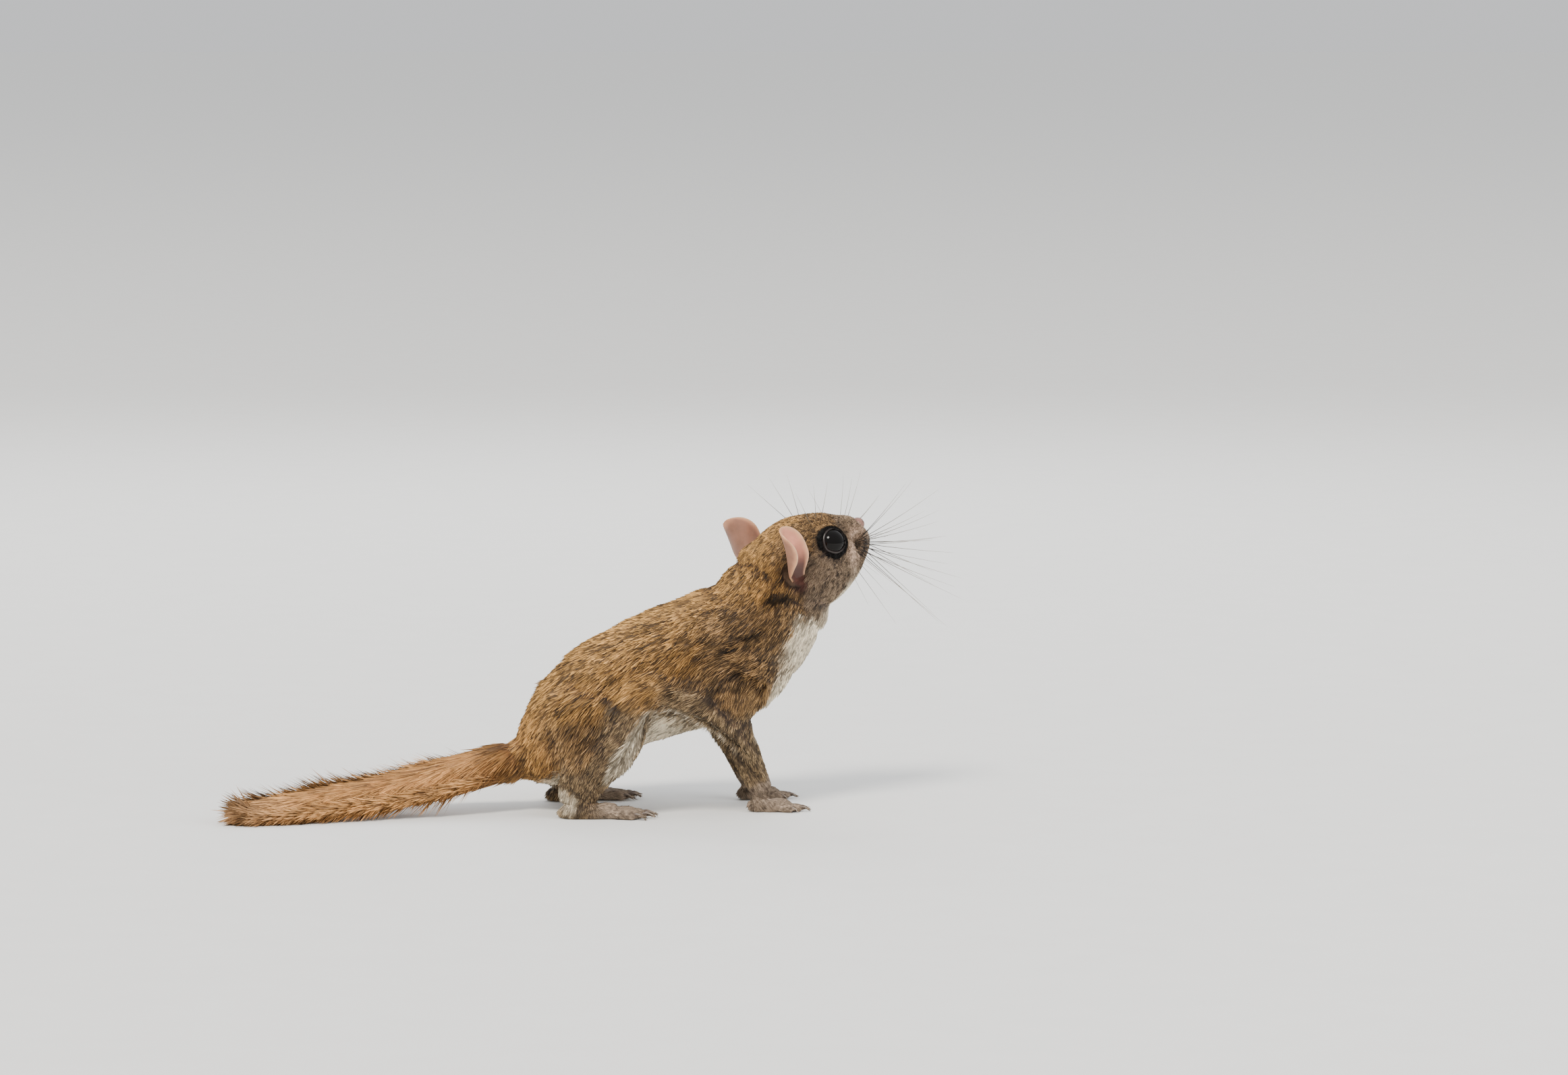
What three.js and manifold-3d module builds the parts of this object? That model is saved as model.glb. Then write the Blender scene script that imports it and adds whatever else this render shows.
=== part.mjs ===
// Flying squirrel, a still life-size model: crouched behind, raised on its forelegs, looking up.
// Millimetres. +X runs towards the head, +Y to the animal's left, +Z up; the soles rest on Z = 0.
import * as THREE from 'three';
import { mergeVertices } from 'three/addons/utils/BufferGeometryUtils.js';
import Module from 'manifold-3d';

const wasm = await Module();
wasm.setup();

const RIGHT = -1;
const LEFT = 1;

// Gaps and mesh steps
const SEAM = 0.3; // clear gap between two nodes that meet
const BIG = 300; // side of the blocks that cut half of space away

// Driving sizes of the animal
const TAIL_LENGTH = 88;
const TAIL_ROLL = 28; // degrees, near edge down
const HEAD_PITCH = 37; // degrees, nose up
const HEAD_YAW = 17; // degrees, nose to the animal's left
const EYE_RADIUS = 4.7;
const EAR_HEIGHT = 22.5;
const HIND_FOOT_LENGTH = 29;
const FORE_FOOT_LENGTH = 15.5;
const WHISKER_LENGTH = 41;

const rad = THREE.MathUtils.degToRad;
const vec = (x, y, z) => new THREE.Vector3(x, y, z);

// The trunk and neck: the line of the back, the line of the belly and half the width at each place.
const TRUNK = [
  { name: 'tail root', back: [-10.5, 20.5], belly: [-8.5, 13], half: 5 },
  { name: 'rump', back: [-8, 27], belly: [-4, 9], half: 10.5 },
  { name: 'hips', back: [-3.5, 35.5], belly: [3.5, 9], half: 16 },
  { name: 'croup', back: [3, 43], belly: [11, 12], half: 18.5 },
  { name: 'loin', back: [11, 49.5], belly: [19.5, 17], half: 19.5 },
  { name: 'waist', back: [20.5, 54.6], belly: [29, 20.5], half: 19.5 },
  { name: 'ribs', back: [32, 59.6], belly: [41, 23.5], half: 19.2 },
  { name: 'chest', back: [42.5, 63.6], belly: [54, 26.5], half: 18.5 },
  { name: 'shoulders', back: [50, 67.2], belly: [64.5, 32], half: 17 },
  { name: 'neck base', back: [54.6, 72.6], belly: [73, 42], half: 15.3 },
  { name: 'neck', back: [58.5, 77.6], belly: [79.5, 52], half: 14 },
  { name: 'throat', back: [64, 81], belly: [82.5, 59.5], half: 12.6 },
  { name: 'inside the head', back: [70, 80], belly: [79.5, 67], half: 8 },
];
const TRUNK_WIDEST = 0.44; // where the width is largest, from belly 0 to back 1
const TRUNK_RINGS = 25;
const TRUNK_AROUND = 24;
const TRUNK_SQUARE = 2.15; // 2 is an ellipse, more is boxier

// The head in its own level frame: x forward from between the eyes and ears, z up.
const HEAD_AT = vec(73.4, 0, 73.2);
const HEAD = [
  { x: -16, top: 5, bottom: -8, half: 8, widest: -2 },
  { x: -13, top: 9, bottom: -11.5, half: 11, widest: -2 },
  { x: -8, top: 12, bottom: -14, half: 13.2, widest: -2.5 },
  { x: -2, top: 13, bottom: -15.4, half: 13.6, widest: -3.5 },
  { x: 4, top: 12.2, bottom: -15.8, half: 12.8, widest: -4.5 },
  { x: 9, top: 9.8, bottom: -15.4, half: 10.8, widest: -5.5 },
  { x: 13.5, top: 6.9, bottom: -14.2, half: 8.4, widest: -6.2 },
  { x: 17, top: 3.8, bottom: -12.6, half: 6.6, widest: -6.2 },
  { x: 19.8, top: 1.3, bottom: -11, half: 5.2, widest: -5.8 },
  { x: 21.6, top: -1.2, bottom: -9, half: 3.6, widest: -5.2 },
];
const NOSE_TIP = vec(22.4, 0, -4.8);
const OCCIPUT = vec(-17.5, 0, -1.5);
const HEAD_RINGS = 21;
const HEAD_AROUND = 26;
const EYE_AT = vec(8.5, 7.5, 0.4); // y is outwards
const EYE_LOOK = vec(0.32, 0.92, 0.2).normalize();
const LID_TUBE = 0.75;
const MOUTH_LEVEL = -9.8;

const headFrame = new THREE.Matrix4()
  .makeTranslation(HEAD_AT)
  .multiply(new THREE.Matrix4().makeRotationZ(rad(HEAD_YAW)))
  .multiply(new THREE.Matrix4().makeRotationY(rad(-HEAD_PITCH)));

// A value that runs smoothly through a list as t goes from 0 to 1.
function smooth(values) {
  const line = new THREE.SplineCurve(values.map((v, i) => new THREE.Vector2(i, v)));
  return (t) => line.getPoint(t).y;
}

// A closed surface over a row of rings of points, with a pole at each end.
function skinOver(startPole, rings, endPole) {
  const around = rings[0].length;
  const points = [startPole, ...rings.flat(), endPole];
  const last = rings.length - 1;
  const at = (ring, k) => 1 + ring * around + (k % around);
  const faces = [];
  for (let k = 0; k < around; k++) {
    faces.push(0, at(0, k + 1), at(0, k));
    for (let ring = 0; ring < last; ring++) {
      faces.push(at(ring, k), at(ring, k + 1), at(ring + 1, k));
      faces.push(at(ring, k + 1), at(ring + 1, k + 1), at(ring + 1, k));
    }
    faces.push(points.length - 1, at(last, k), at(last, k + 1));
  }
  const geometry = new THREE.BufferGeometry().setFromPoints(points);
  geometry.setIndex(faces);
  return geometry;
}

// A manifold-3d solid from a closed geometry, turned right side out.
function toSolid(geometry, matrix = new THREE.Matrix4()) {
  const bare = geometry.clone().deleteAttribute('normal').deleteAttribute('uv');
  const merged = mergeVertices(bare.applyMatrix4(matrix), 1e-4);
  const triVerts = new Uint32Array(merged.index.array);
  const vertProperties = new Float32Array(merged.attributes.position.array);
  const made = new wasm.Manifold(new wasm.Mesh({ numProp: 3, vertProperties, triVerts }));
  if (made.volume() >= 0) return made;
  for (let i = 0; i < triVerts.length; i += 3) {
    [triVerts[i + 1], triVerts[i + 2]] = [triVerts[i + 2], triVerts[i + 1]];
  }
  return new wasm.Manifold(new wasm.Mesh({ numProp: 3, vertProperties, triVerts }));
}

// Everything on the side of a plane that its normal points to.
function beyond(point, normal) {
  const turn = new THREE.Quaternion().setFromUnitVectors(vec(0, 0, 1), normal.clone().normalize());
  const centre = point.clone().addScaledVector(normal.clone().normalize(), BIG / 2);
  const place = new THREE.Matrix4().compose(centre, turn, vec(1, 1, 1));
  return toSolid(new THREE.BoxGeometry(BIG, BIG, BIG), place);
}

function ellipsoid(centre, radii, across = 16, matrix = new THREE.Matrix4()) {
  const place = matrix.clone().multiply(new THREE.Matrix4().compose(centre, new THREE.Quaternion(), radii));
  return toSolid(new THREE.SphereGeometry(1, across, across / 2), place);
}

// An oval section carried along a smooth path. side(t) and up(t) are half its sizes, and ref is
// the direction that the section's up leans to. turn is the section's roll in degrees.
function carried(path, { side, up, ref = vec(0, 0, 1), rings = 12, around = 10, grow = 0, turn = () => 0 }) {
  const line = new THREE.CatmullRomCurve3(path);
  const made = [];
  for (let i = 1; i < rings; i++) {
    const t = i / rings;
    const along = line.getTangent(t);
    const across = new THREE.Vector3().crossVectors(along, ref).normalize();
    const over = new THREE.Vector3().crossVectors(across, along).normalize();
    across.applyAxisAngle(along, rad(turn(t)));
    over.applyAxisAngle(along, rad(turn(t)));
    const ring = [];
    for (let k = 0; k < around; k++) {
      const a = (2 * Math.PI * k) / around;
      ring.push(
        line
          .getPoint(t)
          .addScaledVector(across, Math.cos(a) * (side(t) + grow))
          .addScaledVector(over, Math.sin(a) * (up(t) + grow)),
      );
    }
    made.push(ring);
  }
  const start = line.getPoint(0).addScaledVector(line.getTangent(0), -grow);
  const end = line.getPoint(1).addScaledVector(line.getTangent(1), grow);
  return skinOver(start, made, end);
}

// Half sizes that open from nothing and close to nothing as a round end does.
const rounded = (size, start = 0.3, end = 0.3) => (t) => {
  const near = t < start ? 1 - t / start : t > 1 - end ? (t - 1 + end) / end : 0;
  return size(t) * Math.sqrt(Math.max(0, 1 - near * near));
};

const power = (value, square) => Math.sign(value) * Math.abs(value) ** (2 / square);

function trunkSolid(grow = 0) {
  const back = new THREE.CatmullRomCurve3(TRUNK.map((s) => vec(s.back[0], s.half, s.back[1])));
  const belly = new THREE.CatmullRomCurve3(TRUNK.map((s) => vec(s.belly[0], s.half, s.belly[1])));
  const rings = [];
  for (let i = 0; i <= TRUNK_RINGS; i++) {
    const high = back.getPoint(i / TRUNK_RINGS);
    const low = belly.getPoint(i / TRUNK_RINGS);
    const half = high.y;
    high.y = low.y = 0;
    const stretch = grow / high.distanceTo(low);
    const centre = low.clone().lerp(high, TRUNK_WIDEST);
    const upper = high.sub(centre).multiplyScalar(1 + 2 * stretch);
    const lower = centre.clone().sub(low).multiplyScalar(1 + 2 * stretch);
    const ring = [];
    for (let k = 0; k < TRUNK_AROUND; k++) {
      const a = (2 * Math.PI * k) / TRUNK_AROUND;
      const rise = power(Math.cos(a), TRUNK_SQUARE);
      const point = centre.clone().addScaledVector(rise > 0 ? upper : lower, rise);
      point.y = power(Math.sin(a), TRUNK_SQUARE) * (half + grow);
      ring.push(point);
    }
    rings.push(ring);
  }
  const middle = (ring) => ring.reduce((sum, p) => sum.add(p), vec(0, 0, 0)).divideScalar(ring.length);
  const start = middle(rings[0]).add(vec(-1.5 - grow, 0, -0.4));
  return toSolid(skinOver(start, rings, middle(rings[TRUNK_RINGS])));
}

// Small swellings of the head: where, how far they reach and how high they rise.
const SWELLINGS = [
  { at: [1, 11.5, -8.5], reach: 6, rise: 0.9 }, // cheek
  { at: [6, 8, 8], reach: 4, rise: 0.6 }, // brow
  { at: [14, 5, 0], reach: 3.5, rise: -0.7 }, // dip before the eye
];

function headSolid(grow = 0) {
  const xs = smooth(HEAD.map((s) => s.x));
  const tops = smooth(HEAD.map((s) => s.top));
  const bottoms = smooth(HEAD.map((s) => s.bottom));
  const halves = smooth(HEAD.map((s) => s.half));
  const levels = smooth(HEAD.map((s) => s.widest));
  const rings = [];
  for (let i = 0; i <= HEAD_RINGS; i++) {
    const t = i / HEAD_RINGS;
    const ring = [];
    for (let k = 0; k < HEAD_AROUND; k++) {
      const a = (2 * Math.PI * k) / HEAD_AROUND;
      const c = Math.cos(a);
      const height = c > 0 ? tops(t) - levels(t) : levels(t) - bottoms(t);
      const out = vec(0, (halves(t) + grow) * Math.sin(a), (height + grow) * c);
      const point = vec(xs(t), 0, levels(t)).add(out);
      for (const s of SWELLINGS) {
        const away = vec(s.at[0], s.at[1] * Math.sign(point.y || 1), s.at[2]).distanceTo(point);
        point.addScaledVector(out.clone().normalize(), s.rise * Math.exp(-((away / s.reach) ** 2)));
      }
      ring.push(point);
    }
    rings.push(ring);
  }
  const nose = NOSE_TIP.clone().add(vec(grow, 0, 0));
  const back = OCCIPUT.clone().add(vec(-grow, 0, 0));
  return toSolid(skinOver(back, rings, nose), headFrame);
}

const sided = (v, side) => vec(v.x, v.y * side, v.z);
const inHead = (v, side) => sided(v, side).applyMatrix4(headFrame);

function eyeSolid(side, grow = 0) {
  const size = EYE_RADIUS + grow;
  return ellipsoid(sided(EYE_AT, side), vec(size, size, size), 16, headFrame);
}

// The rim of the lids: a ring round the part of the eye that shows.
function lidSolid(side) {
  const turn = new THREE.Quaternion().setFromUnitVectors(vec(0, 0, 1), sided(EYE_LOOK, side));
  const at = sided(EYE_AT, side).addScaledVector(sided(EYE_LOOK, side), EYE_RADIUS * 0.42);
  const place = headFrame.clone().multiply(new THREE.Matrix4().compose(at, turn, vec(1, 1, 1)));
  return toSolid(new THREE.TorusGeometry(EYE_RADIUS * 0.95, LID_TUBE, 6, 18), place);
}

const NOSE_AT = vec(21.4, 0, -3.7);
const NOSE_HALF = vec(2.1, 2.5, 1.9);

const noseSolid = (grow = 0) =>
  ellipsoid(NOSE_AT, NOSE_HALF.clone().addScalar(grow), 14, headFrame);

function nostrilSolid(side) {
  const path = [vec(24.5, 2.2, -3.5), vec(22.9, 1.5, -3.8), vec(21.5, 0.9, -3.6)].map((v) => inHead(v, side));
  return toSolid(carried(path, { side: () => 0.45, up: () => 0.65, rings: 4, around: 8 }));
}

// A thin level cut that only marks the skin, from one corner of the mouth round to the other.
function mouthSolid() {
  const slab = toSolid(
    new THREE.BoxGeometry(20, 20, 0.5),
    headFrame.clone().multiply(new THREE.Matrix4().makeTranslation(23, 0, MOUTH_LEVEL)),
  );
  return slab.subtract(headSolid(-0.9));
}

const PAD_AT = vec(16.8, 5.3, -6.3);
const PAD_HALF = vec(3.6, 2.5, 3);

const padSolid = (side, grow = 0) =>
  ellipsoid(sided(PAD_AT, side), PAD_HALF.clone().addScalar(grow), 12, headFrame);

const WHISKER_HALF = 0.28; // half the thickness at the root

// Stiff whiskers in rows, fanned forwards and outwards from the pad.
function whiskerSolid(side) {
  const made = [];
  for (let row = 0; row < 3; row++) {
    for (let n = 0; n < 3; n++) {
      const root = PAD_AT.clone().add(vec(1.1 - n * 1.1, 0.9, 1.1 - row * 1.1));
      const pitch = rad(10 - row * 38 - n * 5);
      const spread = rad(28 + n * 18);
      const lean = vec(Math.cos(pitch), 0, Math.sin(pitch)).multiplyScalar(Math.cos(spread));
      lean.y = Math.sin(spread);
      const length = WHISKER_LENGTH * (0.76 + 0.12 * n);
      const bend = vec(-0.06, 0.03, row === 0 ? -0.1 : 0.04).multiplyScalar(length);
      const path = [0, 0.33, 0.66, 1].map((t) =>
        inHead(root.clone().addScaledVector(lean, length * t).addScaledVector(bend, t * t), side),
      );
      const thick = (t) => WHISKER_HALF * (1 - 0.75 * t);
      made.push(toSolid(carried(path, { side: thick, up: thick, rings: 4, around: 4, ref: vec(0, 1, 0.3) })));
    }
  }
  return made;
}

// The ear is a cupped leaf: arcs that open forwards and outwards, wide in the middle, with a
// rolled funnel at the root.
const EAR_ROOT = vec(-6, 9.2, 0.6);
const EAR_UP = vec(0.05, 0.47, 0.88).normalize();
const EAR_WALL = 1;
const earTurn = smooth([74, 68, 50, 32, 16]); // degrees: opens outwards at the root, forwards at the tip
const earRadius = smooth([3.2, 4.2, 5.4, 6.6, 7.4, 7.4, 6.8]);
const earSpread = rounded(smooth([84, 78, 72, 68, 66, 66, 66]), 0, 0.5); // half the arc, in degrees

function earSolid(side) {
  const up = EAR_UP.clone();
  const rows = 10;
  const columns = 8;
  const rings = [];
  for (let i = 0; i <= rows; i++) {
    const t = 0.99 * (1 - (1 - i / rows) ** 1.5);
    const face = vec(Math.cos(rad(earTurn(t))), Math.sin(rad(earTurn(t))), 0);
    face.addScaledVector(up, -face.dot(up)).normalize();
    const across = new THREE.Vector3().crossVectors(up, face);
    const radius = earRadius(t);
    const spread = rad(earSpread(t));
    const ring = [];
    for (const wall of [0, EAR_WALL]) {
      for (let k = 0; k <= columns; k++) {
        const a = spread * (wall ? 1 - (2 * k) / columns : (2 * k) / columns - 1);
        const reach = radius - wall;
        const point = EAR_ROOT.clone()
          .addScaledVector(up, EAR_HEIGHT * (t - 0.12) - 0.5 * wall * t)
          .addScaledVector(face, radius * 0.9 - reach * Math.cos(a))
          .addScaledVector(across, reach * Math.sin(a));
        ring.push(sided(point, side).applyMatrix4(headFrame));
      }
    }
    rings.push(ring);
  }
  const middle = (ring) => ring.reduce((sum, p) => sum.add(p), vec(0, 0, 0)).divideScalar(ring.length);
  const tip = rings[rows][columns >> 1].clone().lerp(rings[rows][columns + 1 + (columns >> 1)], 0.5);
  return toSolid(skinOver(middle(rings[0]), rings, tip));
}

// Hind legs
const HIP = vec(-0.5, 9, 22.5);
const KNEE = vec(26.5, 18, 31.5);
const ANKLE = vec(4.5, 17.5, 6);
const HEEL_X = 0.5;

function thighSolid(side, grow = 0) {
  const path = [HIP, vec(7, 11, 24.5), vec(16.5, 14, 28), KNEE].map((v) => sided(v, side));
  const across = rounded(smooth([8, 10, 10, 8, 5.5]), 0.35, 0.3);
  const deep = rounded(smooth([10, 15, 15, 12, 7.5]), 0.35, 0.3);
  return toSolid(carried(path, { side: across, up: deep, rings: 12, around: 18, grow }));
}

function shinSolid(side, grow = 0) {
  const path = [vec(19, 16.5, 28), vec(12.5, 17.5, 19), vec(7, 17.5, 11), ANKLE.clone().setZ(3)];
  const across = rounded(smooth([6, 6, 5, 4.2, 3.8]), 0.3, 0.15);
  const deep = rounded(smooth([8, 8.5, 7.4, 6, 5.2]), 0.3, 0.15);
  return toSolid(
    carried(
      path.map((v) => sided(v, side)),
      { side: across, up: deep, rings: 10, around: 14, grow, ref: vec(1, 0, 0.4) },
    ),
  );
}

// One toe with its claw: a curved finger from the root, and a hooked, tapering tip.
function toePieces(root, heading, length, thick, claw) {
  const ahead = vec(Math.cos(heading), Math.sin(heading), 0);
  const point = (along, z) => root.clone().addScaledVector(ahead, along).setZ(z);
  const toe = [point(-2.5, root.z), point(length * 0.4, root.z * 1.05), point(length, thick * 0.8)];
  const size = rounded(() => thick, 0.2, 0.25);
  const hook = [
    point(length - 1.2, thick * 1.1),
    point(length + claw * 0.55, thick * 1.15),
    point(length + claw, thick * 0.25),
  ];
  const taper = (t) => thick * 0.45 * (1 - 0.85 * t);
  return [
    toSolid(carried(toe, { side: size, up: size, rings: 4, around: 6 })),
    toSolid(carried(hook, { side: (t) => 0.7 * taper(t), up: taper, rings: 3, around: 4 })),
  ];
}

const FLOOR = beyond(vec(0, 0, 0), vec(0, 0, 1)); // all that is above it

// A foot flat on the floor: sole from heel to the roots of the toes, then the toes in a fan.
function footSolid(side, { heel, heading, length, toes, fan, halfWide, high, toeThick, claw }) {
  const ahead = vec(Math.cos(heading), Math.sin(heading), 0);
  const cross = vec(-ahead.y, ahead.x, 0);
  const palm = length * 0.62;
  const spot = (along, z) => heel.clone().addScaledVector(ahead, along).setZ(z);
  const path = [spot(0, high * 0.5), spot(palm * 0.35, high * 0.5), spot(palm, high * 0.3)];
  const across = rounded(smooth([halfWide * 0.75, halfWide * 0.85, halfWide, halfWide * 1.1]), 0.25, 0.2);
  const deep = rounded(smooth([high * 0.7, high * 0.68, high * 0.5, high * 0.45]), 0.25, 0.2);
  const pieces = [toSolid(carried(path, { side: across, up: deep, rings: 8, around: 10 }))];
  for (let n = 0; n < toes; n++) {
    const place = n / (toes - 1) - 0.5;
    const root = spot(palm - 1.5 - 5 * place * place, high * 0.3).addScaledVector(cross, place * halfWide * 1.7);
    const reach = length - palm - claw + 1 - 9 * place * place;
    pieces.push(...toePieces(root, heading + place * fan, reach, toeThick, claw));
  }
  return wasm.Manifold.union(pieces).intersect(FLOOR);
}

function hindFootSolid(side) {
  return footSolid(side, {
    heel: vec(HEEL_X, ANKLE.y * side, 0),
    heading: rad(7 * side),
    length: HIND_FOOT_LENGTH,
    toes: 5,
    fan: rad(34),
    halfWide: 3.4,
    high: 5,
    toeThick: 1.15,
    claw: 2.6,
  });
}

// Forelegs
const SHOULDER = vec(58, 11, 47);
const ELBOW = vec(51.5, 14, 29);
const WRIST = vec(62, 12.5, 6);

function forelegSolid(side, grow = 0) {
  const path = [SHOULDER, vec(53.5, 13.5, 38), ELBOW, vec(56, 13.5, 17), WRIST.clone().setZ(3)];
  const across = rounded(smooth([6, 6, 5.5, 4, 3.3, 3]), 0.2, 0.1);
  const deep = rounded(smooth([9, 9, 7.5, 5, 3.8, 3.2]), 0.2, 0.1);
  return toSolid(
    carried(
      path.map((v) => sided(v, side)),
      { side: across, up: deep, rings: 14, around: 12, grow, ref: vec(1, 0, 0) },
    ),
  );
}

function foreFootSolid(side) {
  return footSolid(side, {
    heel: vec(WRIST.x - 2, WRIST.y * side, 0),
    heading: rad(5 * side),
    length: FORE_FOOT_LENGTH,
    toes: 4,
    fan: rad(44),
    halfWide: 2.7,
    high: 4,
    toeThick: 0.95,
    claw: 2,
  });
}

// The gliding membrane hangs as a loose fold from the wrist along the flank to the ankle.
const MEMBRANE = [
  { edge: [63, 16, 7], root: [60, 12, 10], thick: 1.4 },
  { edge: [56.5, 19.5, 17], root: [54, 13, 24], thick: 1.8 },
  { edge: [47, 22, 26], root: [47, 13, 36], thick: 2.1 },
  { edge: [37, 24, 31.5], root: [37, 13, 40], thick: 2.3 },
  { edge: [27.5, 25, 33.5], root: [25, 14, 40], thick: 2.4 },
  { edge: [23, 24.5, 26.5], root: [15, 17, 29], thick: 2.4 },
  { edge: [18.5, 23.5, 19.5], root: [9, 18, 18], thick: 2.2 },
  { edge: [14, 21, 8.5], root: [5, 18, 8.5], thick: 1.8 },
];

function membraneSolid(side) {
  const edge = new THREE.CatmullRomCurve3(MEMBRANE.map((s) => sided(vec(...s.edge), side)));
  const root = new THREE.CatmullRomCurve3(MEMBRANE.map((s) => sided(vec(...s.root), side)));
  const thick = smooth(MEMBRANE.map((s) => s.thick));
  const count = 18;
  const around = 10;
  const rings = [];
  for (let i = 0; i <= count; i++) {
    const t = i / count;
    const inner = root.getPoint(t);
    const middle = inner.clone().lerp(edge.getPoint(t), 0.5);
    const reach = edge.getPoint(t).sub(middle);
    const over = new THREE.Vector3().crossVectors(edge.getTangent(t), reach).normalize();
    const close = Math.sqrt(1 - (2 * t - 1) ** 8);
    const ring = [];
    for (let k = 0; k < around; k++) {
      const a = (2 * Math.PI * k) / around;
      const swell = (0.6 - 0.4 * Math.cos(a)) * thick(t);
      ring.push(
        middle
          .clone()
          .addScaledVector(reach, Math.cos(a) * (0.3 + 0.7 * close))
          .addScaledVector(over, Math.sin(a) * 2 * swell * (0.3 + 0.7 * close)),
      );
    }
    rings.push(ring);
  }
  const centre = (ring) => ring.reduce((sum, p) => sum.add(p), vec(0, 0, 0)).divideScalar(ring.length);
  return toSolid(skinOver(centre(rings[0]), rings, centre(rings[count])));
}

// The tail: a narrow core with flat locks of long hair combed out to both sides and backwards,
// rolled a little towards the right, its tip resting on the floor.
const TAIL_PATH = [
  [-0.034, 0, 17],
  [-0.227, -1.5, 13.3],
  [-0.5, -5, 8.2],
  [-0.784, -10.5, 4.9],
  [-1.08, -17, 2.6],
].map(([share, y, z]) => vec(share * TAIL_LENGTH, y, z));
const TAIL_HALF = smooth([6.5, 8, 10.5, 12, 12, 11, 9, 6]); // half the width, out to the tips of the hair
const TAIL_THICK = smooth([6.4, 6.6, 5.9, 4.8, 4, 3.3, 2.8, 2]); // half the thickness, likewise
const CORE_SHARE = smooth([0.95, 0.8, 0.62, 0.55, 0.5, 0.5, 0.5, 0.5]); // of both, within the hair
const tailTurn = (t) => -TAIL_ROLL * Math.min(1, t * 3) * (1 - 0.5 * t);

function tailCore() {
  const wide = rounded((t) => TAIL_HALF(t) * CORE_SHARE(t), 0.1, 0.08);
  const thick = rounded((t) => TAIL_THICK(t) * (0.2 + 0.8 * CORE_SHARE(t)), 0.1, 0.08);
  const end = TAIL_PATH.slice(0, -1).concat([TAIL_PATH.at(-1).clone().lerp(TAIL_PATH.at(-2), 0.2)]);
  return toSolid(carried(end, { side: wide, up: thick, rings: 20, around: 12, turn: tailTurn }));
}

// The rows of locks: how much each row points sideways and upwards, and how many it has.
const LOCK_ROWS = [
  { side: -1, up: 0, count: 16 },
  { side: 1, up: 0, count: 16 },
  { side: 0, up: 1, count: 5 },
  { side: 0, up: -1, count: 4 },
];
const LOCK_LENGTH = 20;
const LOCK_HALF = 3.7; // half the width where it is widest
const LOCK_THICK = 1.5; // half the thickness at the root

function tailLocks() {
  const line = new THREE.CatmullRomCurve3(TAIL_PATH);
  const locks = [];
  for (const row of LOCK_ROWS) {
    const half = row.side ? TAIL_HALF : TAIL_THICK;
    for (let i = 0; i < row.count; i++) {
      const place = (i + (row.side > 0 ? 0.5 : 0)) / row.count;
      const t = row.side ? 0.04 + 0.84 * place : 0.04 + 0.7 * place;
      const along = line.getTangent(t);
      const across = new THREE.Vector3().crossVectors(along, vec(0, 0, 1)).normalize();
      const over = new THREE.Vector3().crossVectors(across, along).normalize();
      across.applyAxisAngle(along, rad(tailTurn(t)));
      over.applyAxisAngle(along, rad(tailTurn(t)));
      const outwards = across.clone().multiplyScalar(row.side).addScaledVector(over, row.up);
      const vary = Math.sin(i * 12.9 + row.side * 4.1); // spread from -1 to 1
      const length = Math.min(LOCK_LENGTH * (1 + 0.1 * vary), (1.02 - t) * TAIL_LENGTH);
      const tip = Math.min(1, t + length / TAIL_LENGTH); // the tail's own place at the lock's tip
      const start = 0.35 * half(t) * CORE_SHARE(t);
      const end = half(tip) * (tip > 0.96 ? 0.35 : 0.92 + 0.05 * vary);
      const root = line.getPoint(t).addScaledVector(outwards, start);
      const arch = row.side ? 0.4 + 0.4 * vary : 0;
      const path = [0, 0.35, 0.7, 1].map((k) =>
        root
          .clone()
          .addScaledVector(outwards, (end - start) * k ** 0.7)
          .addScaledVector(along, length * k)
          .addScaledVector(over, arch * Math.sin(Math.PI * k)),
      );
      const side = (k) => LOCK_HALF * Math.min(1, 0.5 + 2 * k) * (1 - k) ** 0.5;
      const up = (k) => LOCK_THICK * (1 - 0.6 * k);
      locks.push(toSolid(carried(path, { side, up, rings: 5, around: 4, ref: over })));
    }
  }
  return locks;
}

const tailSolid = () => wasm.Manifold.union([tailCore(), ...tailLocks()]).intersect(FLOOR);

// Colours
const fur = (colour, roughness = 0.9) => new THREE.MeshStandardMaterial({ color: colour, roughness, metalness: 0 });
const COAT = fur(0x9a7446);
const TAIL_COAT = fur(0xa58258);
const FACE_COAT = fur(0x8d7a63);
const MEMBRANE_COAT = fur(0x6b5a45);
const FOOT_SKIN = fur(0x77695c, 0.7);
const EAR_SKIN = fur(0xb08374, 0.6);
const NOSE_SKIN = fur(0xa27a70, 0.5);
const EYE_GLOSS = fur(0x080706, 0.05);
const WHISKER = fur(0x3a332c, 0.4);

const squirrel = new THREE.Group();

// Adds a node, keeping only its largest closed surface.
function addNode(name, solid, material) {
  const [largest] = solid.decompose().sort((a, b) => b.volume() - a.volume());
  const { vertProperties, triVerts } = largest.getMesh();
  const geometry = new THREE.BufferGeometry();
  geometry.setAttribute('position', new THREE.BufferAttribute(new Float32Array(vertProperties), 3));
  geometry.setIndex(new THREE.BufferAttribute(new Uint32Array(triVerts), 1));
  geometry.computeVertexNormals();
  const mesh = new THREE.Mesh(geometry, material);
  mesh.name = name;
  squirrel.add(mesh);
}

const SIDES = [
  ['right', RIGHT],
  ['left', LEFT],
];

// Heights of the level cuts where a leg stands on its foot
const HIND_FOOT_TOP = 3.9;
const FORE_FOOT_TOP = 3.4;
const above = (level) => beyond(vec(0, 0, level), vec(0, 0, 1));

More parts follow.
